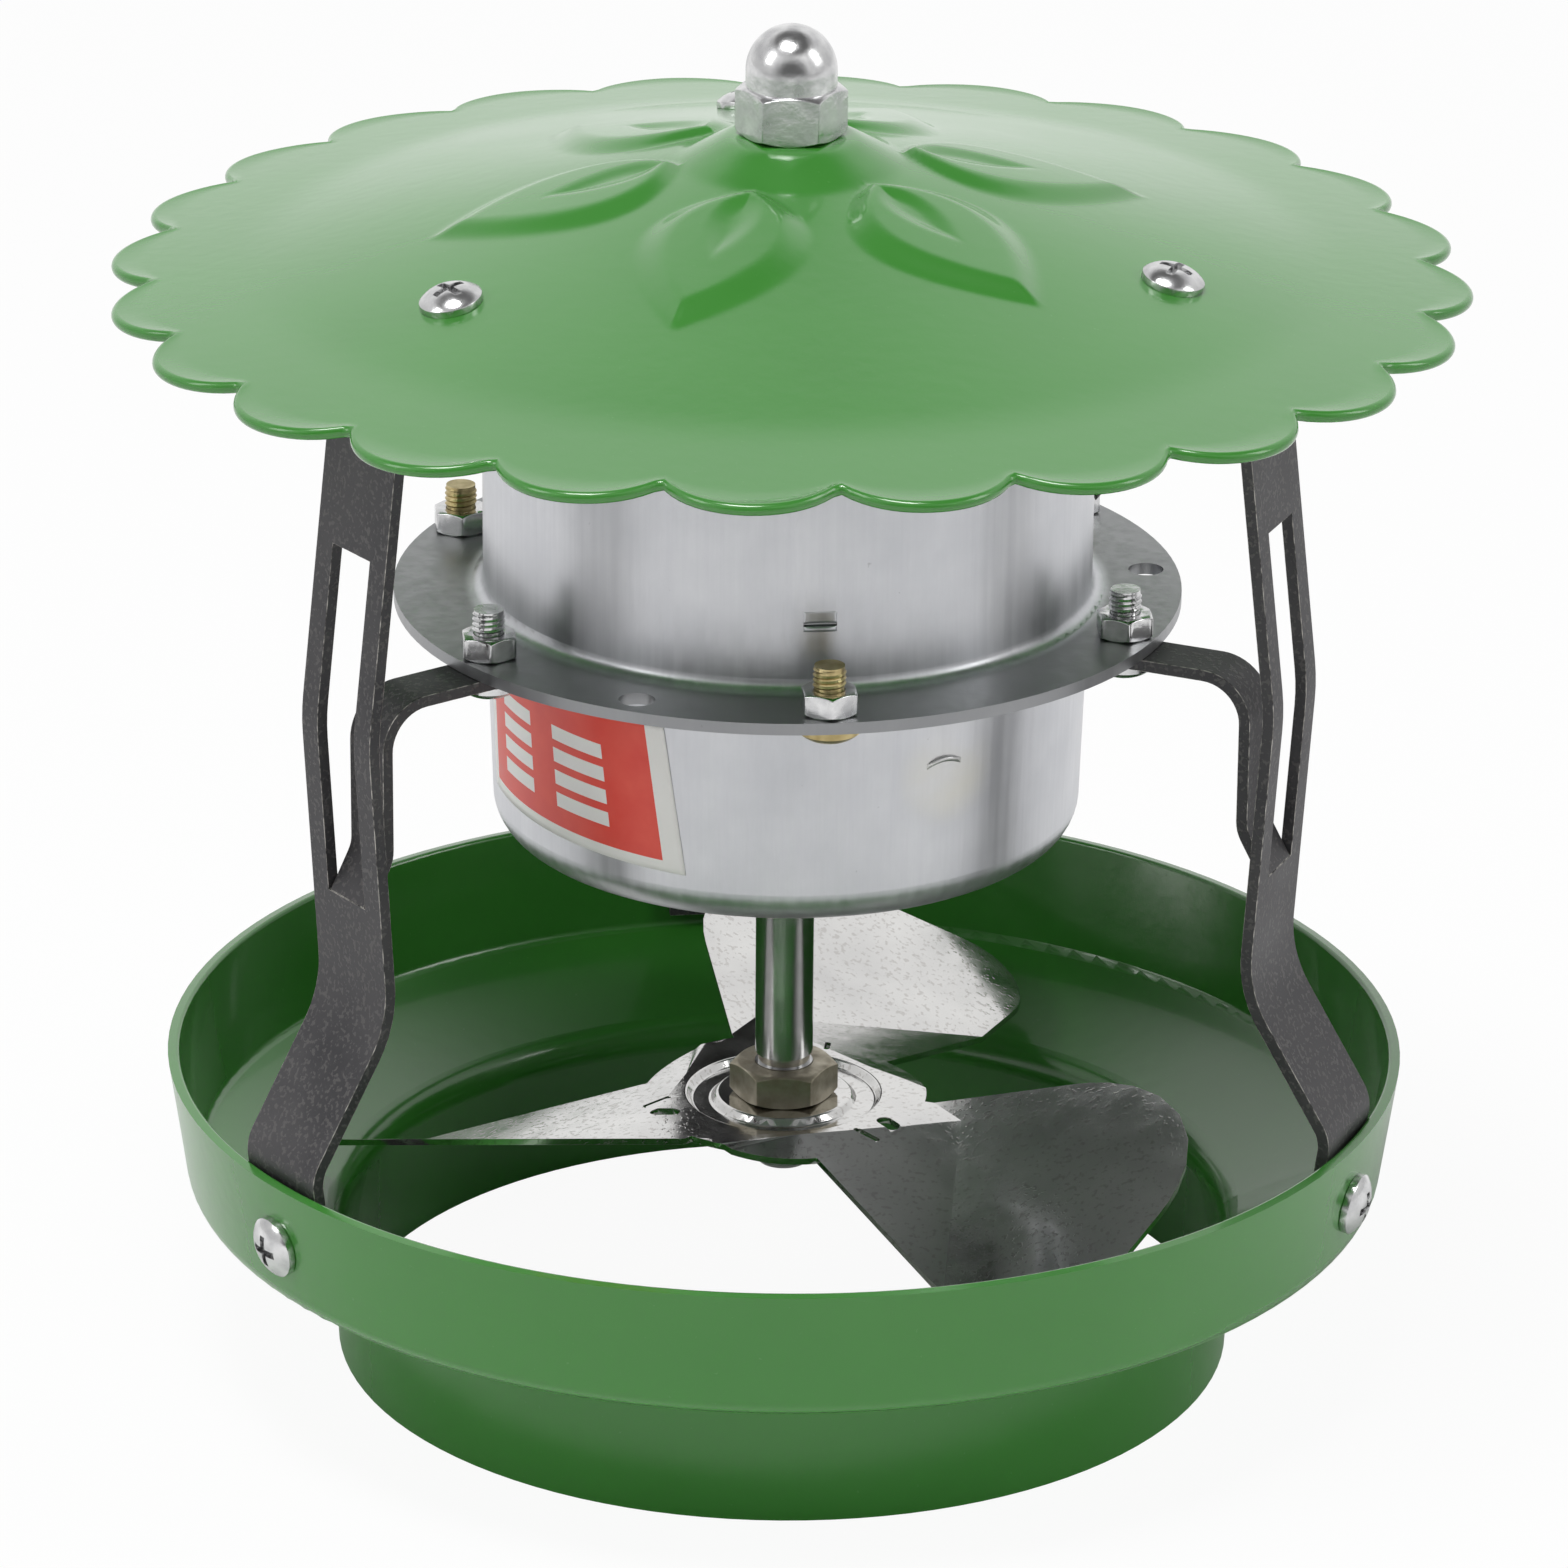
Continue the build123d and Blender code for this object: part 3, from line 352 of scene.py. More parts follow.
def label_print():
    """A red field with a pale margin and bare pale boxes in rows."""
    material, tree, shader = new_material("label_red_print")
    split = node(tree, "ShaderNodeSeparateXYZ")
    place = node(tree, "ShaderNodeUVMap", uv_map="label_place")
    link(tree, place.outputs["UV"], split.inputs[0])
    u, v = split.outputs["X"], split.outputs["Y"]
    field = math_node(tree, "MULTIPLY", inside(tree, u, *FIELD_U), inside(tree, v, *FIELD_V))
    up = math_node(tree, "SUBTRACT", v, ROWS_V[0])
    row = math_node(tree, "FRACT", math_node(tree, "MULTIPLY", up, ROWS_PER_HEIGHT), 0.0)
    rows = math_node(tree, "MULTIPLY", inside(tree, row, *BOX_IN_ROW), inside(tree, v, *ROWS_V))
    boxes = math_node(tree, "ADD", inside(tree, u, *BOXES_LEFT_U), inside(tree, u, *BOXES_RIGHT_U))
    boxes = math_node(tree, "MULTIPLY", boxes, rows)
    coords = object_coords(tree)
    fade = place_group(tree, BLOTCHES, coords, Scale=160.0, Contrast=1.8)
    red = mix_color(tree, fade, (0.84, 0.060, 0.042, 1), (0.93, 0.125, 0.090, 1))
    pale = mix_color(tree, fade, (0.92, 0.90, 0.87, 1), (0.97, 0.96, 0.94, 1))
    base = mix_color(tree, field, pale, red)
    base = mix_color(tree, boxes, base, pale)
    link(tree, base, shader.inputs["Base Color"])
    link(tree, remap(tree, fade, 0, 1, 0.32, 0.45), shader.inputs["Roughness"])
    return material


GREEN = green_paint()
LIGHT_STRAP_EDGE = light_strap_edge()
LABEL = label_print()
STEEL = raw_steel()
GALVANISED = galvanised()
ZINC = plated("bright_zinc", (0.76, 0.76, 0.76, 1), (0.50, 0.50, 0.51, 1), 0.13, 0.28)
YELLOW = plated("yellow_zinc", (0.66, 0.55, 0.30, 1), (0.40, 0.31, 0.14, 1), 0.26, 0.42)
BROWN = plated("dull_brown_zinc", (0.46, 0.42, 0.33, 1), (0.25, 0.22, 0.16, 1), 0.34, 0.50, 0.9)
GROUND = plated("ground_steel", (0.51, 0.51, 0.51, 1), (0.44, 0.44, 0.44, 1), 0.18, 0.24, relief=0.02)
LAMINATED = plated("lamination_steel", (0.34, 0.34, 0.36, 1), (0.20, 0.20, 0.22, 1), 0.40, 0.6)
COPPER = plated("enamelled_copper", (0.55, 0.22, 0.09, 1), (0.36, 0.13, 0.05, 1), 0.25, 0.4, 0.7)
FAN = fan_sheet()
RUBBER = rubber()

FINISHES = {
    "green_paint": GREEN,
    "raw_steel": STEEL,
    "bright_zinc": ZINC,
    "yellow_zinc": YELLOW,
    "dull_brass_zinc": BROWN,
    "galvanised_sheet": GALVANISED,
    "fan_aluminium": FAN,
    "bearing_steel": GROUND,
    "lamination_steel": LAMINATED,
    "copper_winding": COPPER,
    "black_rubber": RUBBER,
}


def dress_nodes():
    """Give every CAD node the finish of its slot."""
    for part in frame["record"]["subparts"]:
        target = NODES[part["node"]]
        target.data.materials.clear()
        target.data.materials.append(FINISHES[part["material_slot"]])


dress_nodes()


# Mesh tools
def mesh_object(name, points, faces, material, smooth=True):
    mesh = bpy.data.meshes.new(name)
    mesh.from_pydata([tuple(MM * c for c in p) for p in points], [], faces)
    mesh.validate()
    mesh.materials.append(material)
    mesh.polygons.foreach_set("use_smooth", [smooth] * len(mesh.polygons))
    made = bpy.data.objects.new(name, mesh)
    bpy.context.scene.collection.objects.link(made)
    return made


def grid_faces(rows, columns, closed=True):
    """Quads of a grid, its rows closed into rings or left open."""
    faces = []
    for i in range(rows - 1):
        for j in range(columns if closed else columns - 1):
            k = (j + 1) % columns
            faces.append((i * columns + j, i * columns + k, (i + 1) * columns + k, (i + 1) * columns + j))
    return faces


def grid_border(rows, columns):
    """The points once round an open grid."""
    loop = list(range(columns)) + [i * columns + columns - 1 for i in range(1, rows)]
    loop += [(rows - 1) * columns + j for j in range(columns - 2, -1, -1)]
    return loop + [i * columns for i in range(rows - 2, 0, -1)]


# Rain cap
LOBES, LOBE_R, NOTCH_R, LOBE_AZIMUTH = 24, 91.0, 84.8, 266.8
CAP_BORE_R, CAP_LINE_R = 4.3, (0, 8.4, 15.0, 71.0, 92.2)
CAP_LINE_Z = (APEX_Z, APEX_Z, BOSS_FOOT_Z, CREASE_Z, BRIM_Z)
BRIM_START_R, BRIM_SHARES = 81.5, (0.2, 0.4, 0.52)
BEAD_R, BEAD_TURN, BEAD_STEPS = 0.8, 108, 15
CAP_COLUMNS = 480
EASE_AT_R, EASE_REACH = (20, 70), (0.8, 3.2)
LEAF_BULGE, LEAF_FULL, LEAF_NARROWS, LEAF_TAPER = 1.55, 0.16, 0.58, 0.86
PETALS, PETAL_AZIMUTH = 6, 12.0
PETAL_START, PETAL_TIP, PETAL_HALF_W = 15.0, 49.0, 11.0
PETAL_H, PETAL_SHOULDER = 1.3, 5.2
DENT_START, DENT_TIP, DENT_HALF_W, DENT_DEPTH = 17.0, 34.0, 3.4, 0.62


def rim_radius(azimuth):
    """Radius of the scalloped rim: one circular arc to a lobe."""
    half = math.radians(180 / LOBES)
    centre = (NOTCH_R ** 2 - LOBE_R ** 2) / (2 * (NOTCH_R * math.cos(half) - LOBE_R))
    arc = LOBE_R - centre
    turn = (np.radians(azimuth - LOBE_AZIMUTH) + half) % (2 * half) - half
    return centre * np.cos(turn) + np.sqrt(arc ** 2 - (centre * np.sin(turn)) ** 2)


def dome_height(radius):
    """The cap's top line, its corners eased."""
    total = np.zeros_like(radius)
    reach = np.interp(radius, EASE_AT_R, EASE_REACH)
    shifts = np.linspace(-1, 1, 9)
    for shift in shifts:
        total += np.interp(np.abs(radius + shift * reach), CAP_LINE_R, CAP_LINE_Z)
    return total / len(shifts)


def leaf_width(radius, start, tip, half_width):
    """Half-width of a pointed leaf at a radius."""
    t = np.linspace(0, 1, 60)
    bulge = half_width * LEAF_BULGE
    near, far = 3 * (1 - t) ** 2 * t, 3 * (1 - t) * t ** 2
    along = near * LEAF_FULL + far * LEAF_NARROWS + t ** 3
    across = near * bulge + far * bulge * LEAF_TAPER
    return np.interp(radius, start + (tip - start) * along, across, left=0, right=0)


def ease(value):
    value = np.clip(value, 0, 1)
    return value * value * (3 - 2 * value)


def petal_height(radius, azimuth):
    """Raised petals with a soft shoulder and a dent near the root."""
    step = 360 / PETALS
    turn = (azimuth - PETAL_AZIMUTH + step / 2) % step - step / 2
    along = radius * np.cos(np.radians(turn))
    across = np.abs(radius * np.sin(np.radians(turn)))
    room = leaf_width(along, PETAL_START, PETAL_TIP, PETAL_HALF_W) - across
    dent = leaf_width(along, DENT_START, DENT_TIP, DENT_HALF_W) - across
    body = ease(room / PETAL_SHOULDER)
    return PETAL_H * body - DENT_DEPTH * ease(dent / DENT_HALF_W) * body


def build_cap():
    """The cap's sheet in rings: over the top, round the bead and back below."""
    columns = CAP_COLUMNS
    azimuth = np.arange(columns) * 360 / columns
    rim = rim_radius(azimuth)
    inner = np.concatenate([np.linspace(CAP_BORE_R, 60, 72), np.linspace(61.5, BRIM_START_R, 11)])
    rows = []
    for radius in inner:
        ring = np.full(columns, radius)
        rows.append((ring, dome_height(ring) + petal_height(ring, azimuth)))
    for share in BRIM_SHARES:
        ring = BRIM_START_R + (rim - BRIM_START_R) * share
        rows.append((ring, dome_height(ring)))
    for turn in np.radians(np.linspace(BEAD_TURN, -BEAD_TURN, BEAD_STEPS)):
        ring = rim - BEAD_R + BEAD_R * math.cos(turn)
        rows.append((ring, dome_height(rim) - CAP_SHEET / 2 + BEAD_R * math.sin(turn)))
    for radius in np.concatenate([[82, 78], np.linspace(74, 10, 33), [7, CAP_BORE_R]]):
        ring = np.full(columns, radius)
        drop = CAP_SHEET * (1.03 if radius > 16 else 1.15)
        rows.append((ring, dome_height(ring) + petal_height(ring, azimuth) - drop))
    points = []
    for ring, height in rows:
        points += zip(ring * np.cos(np.radians(azimuth)), ring * np.sin(np.radians(azimuth)), height)
    faces = grid_faces(len(rows), columns)
    last = (len(rows) - 1) * columns
    faces += [(last + j, last + (j + 1) % columns, (j + 1) % columns, j) for j in range(columns)]
    cap = mesh_object("cap_pressing", points, faces, GREEN)
    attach(cap, "cowl_frame")
    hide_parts("rain_cap")


build_cap()


# Edges rounded over
BEVEL_SEGMENTS, SMOOTH_ANGLE, CRISP_ANGLE = 2, 40, 8
LEG_EDGE_R, NUT_EDGE_R, LOCK_NUT_EDGE_R, FAN_EDGE_R = 0.36, 0.14, 0.2, 0.16


def round_edges(form, angle, width, material):
    """Round the edges whose faces meet at more than an angle."""
    sharp = [
        e for e in form.edges
        if len(e.link_faces) == 2 and math.radians(angle) < e.calc_face_angle(0) < math.pi
    ]
    bmesh.ops.bevel(
        form, geom=sharp, offset=width * MM, segments=BEVEL_SEGMENTS, profile=0.5, affect="EDGES",
        clamp_overlap=True, material=material,
    )


def rounded_object(form, name, width, finish, edge_finish=None, angle=32, crisp=None):
    """An object from a form, its sharp edges rounded; shallow folds longer than a limit stay crisp."""
    round_edges(form, angle, width, 1 if edge_finish else -1)
    bmesh.ops.triangulate(form, faces=form.faces)
    for edge in form.edges:
        shallow = CRISP_ANGLE if crisp and edge.calc_length() > crisp * MM else SMOOTH_ANGLE
        edge.smooth = len(edge.link_faces) == 2 and edge.calc_face_angle(0) < math.radians(shallow)
    mesh = bpy.data.meshes.new(name + "_form")
    form.to_mesh(mesh)
    form.free()
    mesh.materials.append(finish)
    if edge_finish:
        mesh.materials.append(edge_finish)
    mesh.polygons.foreach_set("use_smooth", [True] * len(mesh.polygons))
    made = bpy.data.objects.new(name + "_form", mesh)
    bpy.context.scene.collection.objects.link(made)
    made.modifiers.new("even_normals", "WEIGHTED_NORMAL").keep_sharp = True
    return made


def soften(name, width, finish, edge_finish=None):
    """A copy of a CAD node with its sharp edges rounded."""
    form = bmesh.new()
    form.from_mesh(NODES[name].data)
    bmesh.ops.remove_doubles(form, verts=form.verts, dist=2e-6)
    bmesh.ops.dissolve_limit(form, angle_limit=math.radians(0.4), verts=form.verts, edges=form.edges)
    return rounded_object(form, name, width, finish, edge_finish)


def stand_for(piece, name):
    """Let a piece take a CAD node's place and body."""
    record = frame["record"]
    body = next(b for b, names in record["behaviour"]["bodies"].items() if name in names)
    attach(piece, body)
    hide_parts(name)


for name in ("leg_left", "leg_right", "leg_rear"):
    stand_for(soften(name, LEG_EDGE_R, STEEL, LIGHT_STRAP_EDGE), name)
for name in ("acorn_nut", "case_nuts", "leg_nuts", "bowl_screws", "cap_screws"):
    stand_for(soften(name, NUT_EDGE_R, ZINC), name)
stand_for(soften("fan_lock_nut", LOCK_NUT_EDGE_R, BROWN), "fan_lock_nut")


# Fan sheet, folded along straight lines
FAN_TOP_Z, FAN_SHEET, FAN_AZIMUTHS = 35.2, 0.9, (181.5, 301.5, 61.5)
FAN_HUB_R, FAN_BORE_R = 19.8, 4.04
FAN_PITCH, FAN_PITCH_FOLD = 24.2, 15.9
FAN_RISE = math.tan(math.radians(FAN_PITCH))
FAN_FALL, FAN_DROOP_FOLD, FAN_DROOP_TURN = math.tan(math.radians(15.5)), 14.7, math.radians(-18.7)
FAN_ROOT_HIGH, FAN_ROOT_LOW = (10.0, 12.6), (8.0, -6.4)
FAN_TIP_HIGH, FAN_TIP_LOW = (52.6, 48.3), (73.4, -4.6)
FAN_HIGH_CORNER_R, FAN_LOW_CORNER_R = 22.0, 9.0
FAN_RING_STOPS, FAN_RING_DEPTH = (9.2, 10.2, 12.6, 13.6), 1.0
FAN_HOLES = ((16.5, 6.8, 4.2, 2.2, 0.0), (17.6, 2.6, 4.2, 0.8, FAN_PITCH))
FAN_SECTOR_MIDDLE, FAN_SECTOR_HALF = 6, 60
FAN_FOLD_MARGIN, CREASE_REACH = 0.2, 1.8


def circle(radius, steps):
    return [polar(radius, t) for t in np.arange(steps) * 2 * math.pi / steps]


def rounded_corner(before, corner, after, radius, steps=10):
    """Points of a corner rounded to a radius."""
    before, corner, after = Vector(before), Vector(corner), Vector(after)
    back, on = (before - corner).normalized(), (after - corner).normalized()
    half = back.angle(on) / 2
    centre = corner + (back + on).normalized() * (radius / math.sin(half))
    start = corner + back * (radius / math.tan(half)) - centre
    end = corner + on * (radius / math.tan(half)) - centre
    return [tuple(centre + start.lerp(end, i / steps).normalized() * radius) for i in range(steps + 1)]


def blade_plan():
    """One blade's outline seen from above, its line along the first axis."""
    low = rounded_corner(FAN_ROOT_LOW, FAN_TIP_LOW, FAN_TIP_HIGH, FAN_LOW_CORNER_R)
    high = rounded_corner(FAN_TIP_LOW, FAN_TIP_HIGH, FAN_ROOT_HIGH, FAN_HIGH_CORNER_R)
    return [FAN_ROOT_LOW] + low + high + [FAN_ROOT_HIGH]


def blade_folds():
    """The droop's line, the pitch's line and the crease where both planes meet, each from end to end."""
    cos, sin = math.cos(FAN_DROOP_TURN), math.sin(FAN_DROOP_TURN)
    meet = ((FAN_DROOP_FOLD - FAN_PITCH_FOLD * sin) / cos, FAN_PITCH_FOLD)
    chord = -math.sqrt(FAN_HUB_R ** 2 - FAN_DROOP_FOLD ** 2) - FAN_FOLD_MARGIN
    root = (FAN_DROOP_FOLD * cos - chord * sin, FAN_DROOP_FOLD * sin + chord * cos)
    slope = FAN_FALL * cos / (FAN_RISE + FAN_FALL * sin)
    drop = FAN_PITCH_FOLD - FAN_TIP_LOW[1] * CREASE_REACH
    far = (meet[0] + drop / slope, meet[1] - drop)
    return [(root, meet), ((FAN_ROOT_HIGH[0], FAN_PITCH_FOLD), meet), (meet, far)]


def fan_hole(u, v, length, width, turn):
    """A slot with round ends, turned by an angle in degrees."""
    reach = (length - width) / 2
    points = []
    for shift, start in ((reach, -90), (-reach, 90)):
        for t in np.radians(start + np.linspace(0, 180, 9)):
            x, y = polar(width / 2, t)
            dx, dy = turned(shift + x, y, turn)
            points.append((u + dx, v + dy))
    return points


def within(outline, x, y):
    """Which points lie inside a closed outline."""
    found = np.zeros(x.shape, bool)
    for (ax, ay), (bx, by) in zip(outline, outline[1:] + outline[:1]):
        if ay != by:
            found ^= ((ay > y) != (by > y)) & (x < (bx - ax) * (y - ay) / (by - ay) + ax)
    return found


def turned(x, y, angle):
    cos, sin = math.cos(math.radians(angle)), math.sin(math.radians(angle))
    return x * cos - y * sin, x * sin + y * cos


def fan_height(x, y):
    """The sheet's top: the pressed ring, the drooped sides and the paddles bent up."""
    radius = np.hypot(x, y)
    height = -FAN_RING_DEPTH * ease(np.interp(radius, FAN_RING_STOPS, (0, 1, 1, 0)))
    for azimuth in FAN_AZIMUTHS:
        u, v = turned(x, y, -azimuth)
        along = u * math.cos(FAN_DROOP_TURN) + v * math.sin(FAN_DROOP_TURN)
        mine = np.abs(np.degrees(np.arctan2(v, u)) - FAN_SECTOR_MIDDLE) < FAN_SECTOR_HALF
        droop = np.minimum(0, -FAN_FALL * (along - FAN_DROOP_FOLD))
        outer = radius > FAN_HUB_R + FAN_FOLD_MARGIN
        pitch = np.where(outer, FAN_RISE * (v - FAN_PITCH_FOLD), -FAN_TOP_Z)
        height = np.where(mine, np.maximum(height + droop, pitch), height)
    return FAN_TOP_Z + height


def fan_sheet_plan():
    """The fan's plan cut into triangles along its outline, folds, ring and holes."""
    loops = [circle(FAN_HUB_R, 120), circle(FAN_BORE_R, 60)]
    loops += [circle(r, 90) for stop in FAN_RING_STOPS for r in np.linspace(stop - 0.25, stop + 0.25, 3)]
    folds, plans, holes = [], [], []
    for azimuth in FAN_AZIMUTHS:
        plans.append([turned(*p, azimuth) for p in blade_plan()])
        holes += [[turned(*p, azimuth) for p in fan_hole(*hole)] for hole in FAN_HOLES]
        folds += [[turned(*p, azimuth) for p in fold] for fold in blade_folds()]
    points, edges = [], []
    lines = [(loop, True) for loop in loops + plans + holes] + [(fold, False) for fold in folds]
    for line, closed in lines:
        base = len(points)
        points += line
        edges += [(base + i, base + i + 1) for i in range(len(line) - 1)]
        if closed:
            edges.append((base + len(line) - 1, base))
    corners, _, triangles, _, _, _ = delaunay_2d_cdt([Vector(p) for p in points], edges, [], 0, 1e-4)
    flat = np.array([tuple(c) for c in corners])
    x, y = flat[np.array(triangles)].mean(axis=1).T
    radius = np.hypot(x, y)
    kept = radius < FAN_HUB_R
    for plan in plans:
        kept |= within(plan, x, y)
    for hole in holes:
        kept &= ~within(hole, x, y)
    kept &= radius > FAN_BORE_R
    return flat, [t for t, keep in zip(triangles, kept) if keep]


def build_fan():
    """The sheet's upper and lower faces and its cut edges."""
    flat, triangles = fan_sheet_plan()
    top = fan_height(flat[:, 0], flat[:, 1])
    form = bmesh.new()
    upper = [form.verts.new((x * MM, y * MM, z * MM)) for (x, y), z in zip(flat, top)]
    lower = [form.verts.new((x * MM, y * MM, (z - FAN_SHEET) * MM)) for (x, y), z in zip(flat, top)]
    sides = {}
    for a, b, c in triangles:
        form.faces.new((upper[a], upper[b], upper[c]))
        form.faces.new((lower[c], lower[b], lower[a]))
        for pair in ((a, b), (b, c), (c, a)):
            if sides.pop(pair[::-1], None) is None:
                sides[pair] = True
    for a, b in sides:
        form.faces.new((upper[b], upper[a], lower[a], lower[b]))
    bmesh.ops.delete(form, geom=[v for v in form.verts if not v.link_faces], context="VERTS")
    return rounded_object(form, "fan_impeller", FAN_EDGE_R, FAN, angle=50, crisp=1.2)


stand_for(build_fan(), "fan_impeller")


# Bolt threads
TAIL_R, THREAD_DEPTH, THREAD_PITCH = 2.0, 0.2, 0.72
TAIL_LOW_Z, TAIL_HIGH_Z = FLANGE_TOP_Z + 3.4, FLANGE_TOP_Z + 6.2
RIDGE_HALF, RIDGE_SINK, RIDGE_FADE = 0.44, 0.03, 8


def thread_ridge(radius, depth, pitch, low, high, steps=24):
    """A helical ridge round an upright shank: its points and faces."""
    turns = (high - low) / pitch
    count = int(turns * steps) + 1
    points, faces = [], []
    for i in range(count):
        share = i / (count - 1)
        turn = 2 * math.pi * turns * share
        z = low + (high - low) * share
        fade = min(1.0, share * RIDGE_FADE, (1 - share) * RIDGE_FADE)
        for lift, out in ((-RIDGE_HALF, -RIDGE_SINK), (0.0, depth * fade), (RIDGE_HALF, -RIDGE_SINK)):
            points.append((*polar(radius + out, turn), z + lift * pitch))
        if i:
            a, b = 3 * (i - 1), 3 * i
            faces += [(a, b, b + 1, a + 1), (a + 1, b + 1, b + 2, a + 2), (a + 2, b + 2, b, a)]
    faces += [(0, 1, 2), (3 * count - 1, 3 * count - 2, 3 * count - 3)]
    return points, faces


def build_threads(name, azimuths, finish):
    """The threads on the bolts' tails above their nuts."""
    ridge, strip = thread_ridge(TAIL_R, THREAD_DEPTH, THREAD_PITCH, TAIL_LOW_Z, TAIL_HIGH_Z)
    points, faces = [], []
    for azimuth in azimuths:
        x, y = polar(BOLT_CIRCLE_R, math.radians(azimuth))
        base = len(points)
        points += [(x + px, y + py, pz) for px, py, pz in ridge]
        faces += [tuple(base + i for i in face) for face in strip]
    threads = mesh_object(name, points, faces, finish, smooth=False)
    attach(threads, "cowl_frame")


build_threads("case_bolt_threads", CASE_AZIMUTHS, YELLOW)
build_threads("leg_bolt_threads", LEG_AZIMUTHS, ZINC)


# Data label
LABEL_AZIMUTH, LABEL_SPAN, LABEL_SKEW = 193.0, 53.6, 4.2
LABEL_Z, LABEL_H, LABEL_TILT = 84.6, 21.0, 1.6
LABEL_LAYERS = (0.03, 0.12)


def can_radius(z):
    """The lower can's outer radius at a height."""
    return LOWER_CAN_R - LOWER_CAN_DRAFT * (LOWER_CAN_TOP_Z - z) / LOWER_CAN_H


def build_label():
    """A thin sticker bent round the lower can."""
    columns, rows = 48, 24
    points, places = [], []
    for layer in LABEL_LAYERS:
        for i in range(rows):
            for j in range(columns):
                u, v = j / (columns - 1), i / (rows - 1)
                azimuth = LABEL_AZIMUTH + LABEL_SPAN * u + LABEL_SKEW * u * (1 - v)
                z = LABEL_Z + LABEL_H * v - LABEL_TILT * u
                points.append((*polar(can_radius(z) + layer, math.radians(azimuth)), z))
                places.append((u, v))
    size = rows * columns
    front = [tuple(size + k for k in face) for face in grid_faces(rows, columns, closed=False)]
    back = [tuple(reversed(face)) for face in grid_faces(rows, columns, closed=False)]
    loop = grid_border(rows, columns)
    side = [(a, b, size + b, size + a) for a, b in zip(loop, loop[1:] + loop[:1])]
    label = mesh_object("data_label", points, front + back + side, LABEL)
    layer = label.data.uv_layers.new(name="label_place")
    for corner in label.data.loops:
        layer.data[corner.index].uv = places[corner.vertex_index]
    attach(label, "cowl_frame")


build_label()


# Tabs of the upper can and a nick in the lower one
TAB_PLACES = (("front", 276.0), ("right", 36.0), ("left", 156.0))
TAB_W = 4.4
TAB_LIP_Z, TAB_LIP_RISE, TAB_LIP_OUT = 118.85, 0.75, 0.4
TAB_DENT_Z, TAB_DENT_RISE, TAB_DENT_OUT = 119.95, 1.7, -0.32
LIP_SHEET, LIP_ARC_FROM, LIP_ARC_SPAN, DENT_BEND = 0.35, 0.08, 0.72, 1.06


def build_lip(name, azimuth, low, width, rise, out, curve=0.0):
    """A small lip pushed out of a can's wall, or a dent pressed in where out is below 0."""
    columns, rows = 13, 7
    points = []
    for depth in (0.0, LIP_SHEET):
        for i in range(rows):
            for j in range(columns):
                across, up = 2 * j / (columns - 1) - 1, i / (rows - 1)
                arch = math.sin(math.pi * (LIP_ARC_FROM + LIP_ARC_SPAN * up))
                bend = arch if out > 0 else DENT_BEND - up
                swell = out * (1 - abs(across) ** 3) * bend - depth
                z = low + rise * up + curve * (1 - across ** 2)
                wall = can_radius(z) if z < JOINT_Z else UPPER_CAN_R
                turn = math.radians(azimuth) + across * width / 2 / wall
                points.append((*polar(wall + swell, turn), z))
    size = rows * columns
    front = grid_faces(rows, columns, closed=False)
    back = [tuple(size + k for k in reversed(face)) for face in front]
    loop = grid_border(rows, columns)
    side = [(b, a, size + a, size + b) for a, b in zip(loop, loop[1:] + loop[:1])]
    lip = mesh_object(name, points, front + back + side, GALVANISED)
    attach(lip, "cowl_frame")


for place, azimuth in TAB_PLACES:
    build_lip("tab_lip_" + place, azimuth, TAB_LIP_Z, TAB_W, TAB_LIP_RISE, TAB_LIP_OUT)
    build_lip("tab_dent_" + place, azimuth, TAB_DENT_Z, TAB_W, TAB_DENT_RISE, TAB_DENT_OUT)
build_lip("can_nick", azimuth=301.0, low=97.6, width=5.2, rise=0.8, out=0.45, curve=0.7)


# Studio: floor, world, lamps and camera
FLOOR_HALF, FLOOR_GLOW = 6.0, 0.94
PHOTO_PX, SENSOR_W = 1568, 36.0

# Ranges of the light: from, to, strength at from, strength at to
FLOOR_AROUND_R, FLOOR_NEAR_Y = (0.10, 0.20, 0.0, 1.0), (-0.47, -0.35, 0.30, 1.0)
SHED_BEHIND_Y, SHED_LOW_Z = (-0.35, 0.45, 0.12, 1.0), (0.38, 0.72, 1.0, 0.22)
MIRROR_FRONT_Y, MIRROR_HIGH_Z = (-0.92, -0.60, 0.15, 1.0), (0.64, 0.88, 1.0, 0.14)
MIRROR_BESIDE_X = (0.45, 0.95, 1.0, 0.72)


def seen_in_metal(tree, paths):
    """1 for rays that a mirror or a clear body sends on."""
    return math_node(tree, "MAXIMUM", paths.outputs["Is Glossy Ray"], paths.outputs["Is Transmission Ray"])


def mix_value(tree, factor, first, second):
    made = node(tree, "ShaderNodeMix", data_type="FLOAT")
    for socket, value in zip(made.inputs[:1] + made.inputs[2:4], (factor, first, second)):
        if isinstance(value, float):
            socket.default_value = value
        else:
            link(tree, value, socket)
    return made.outputs[0]


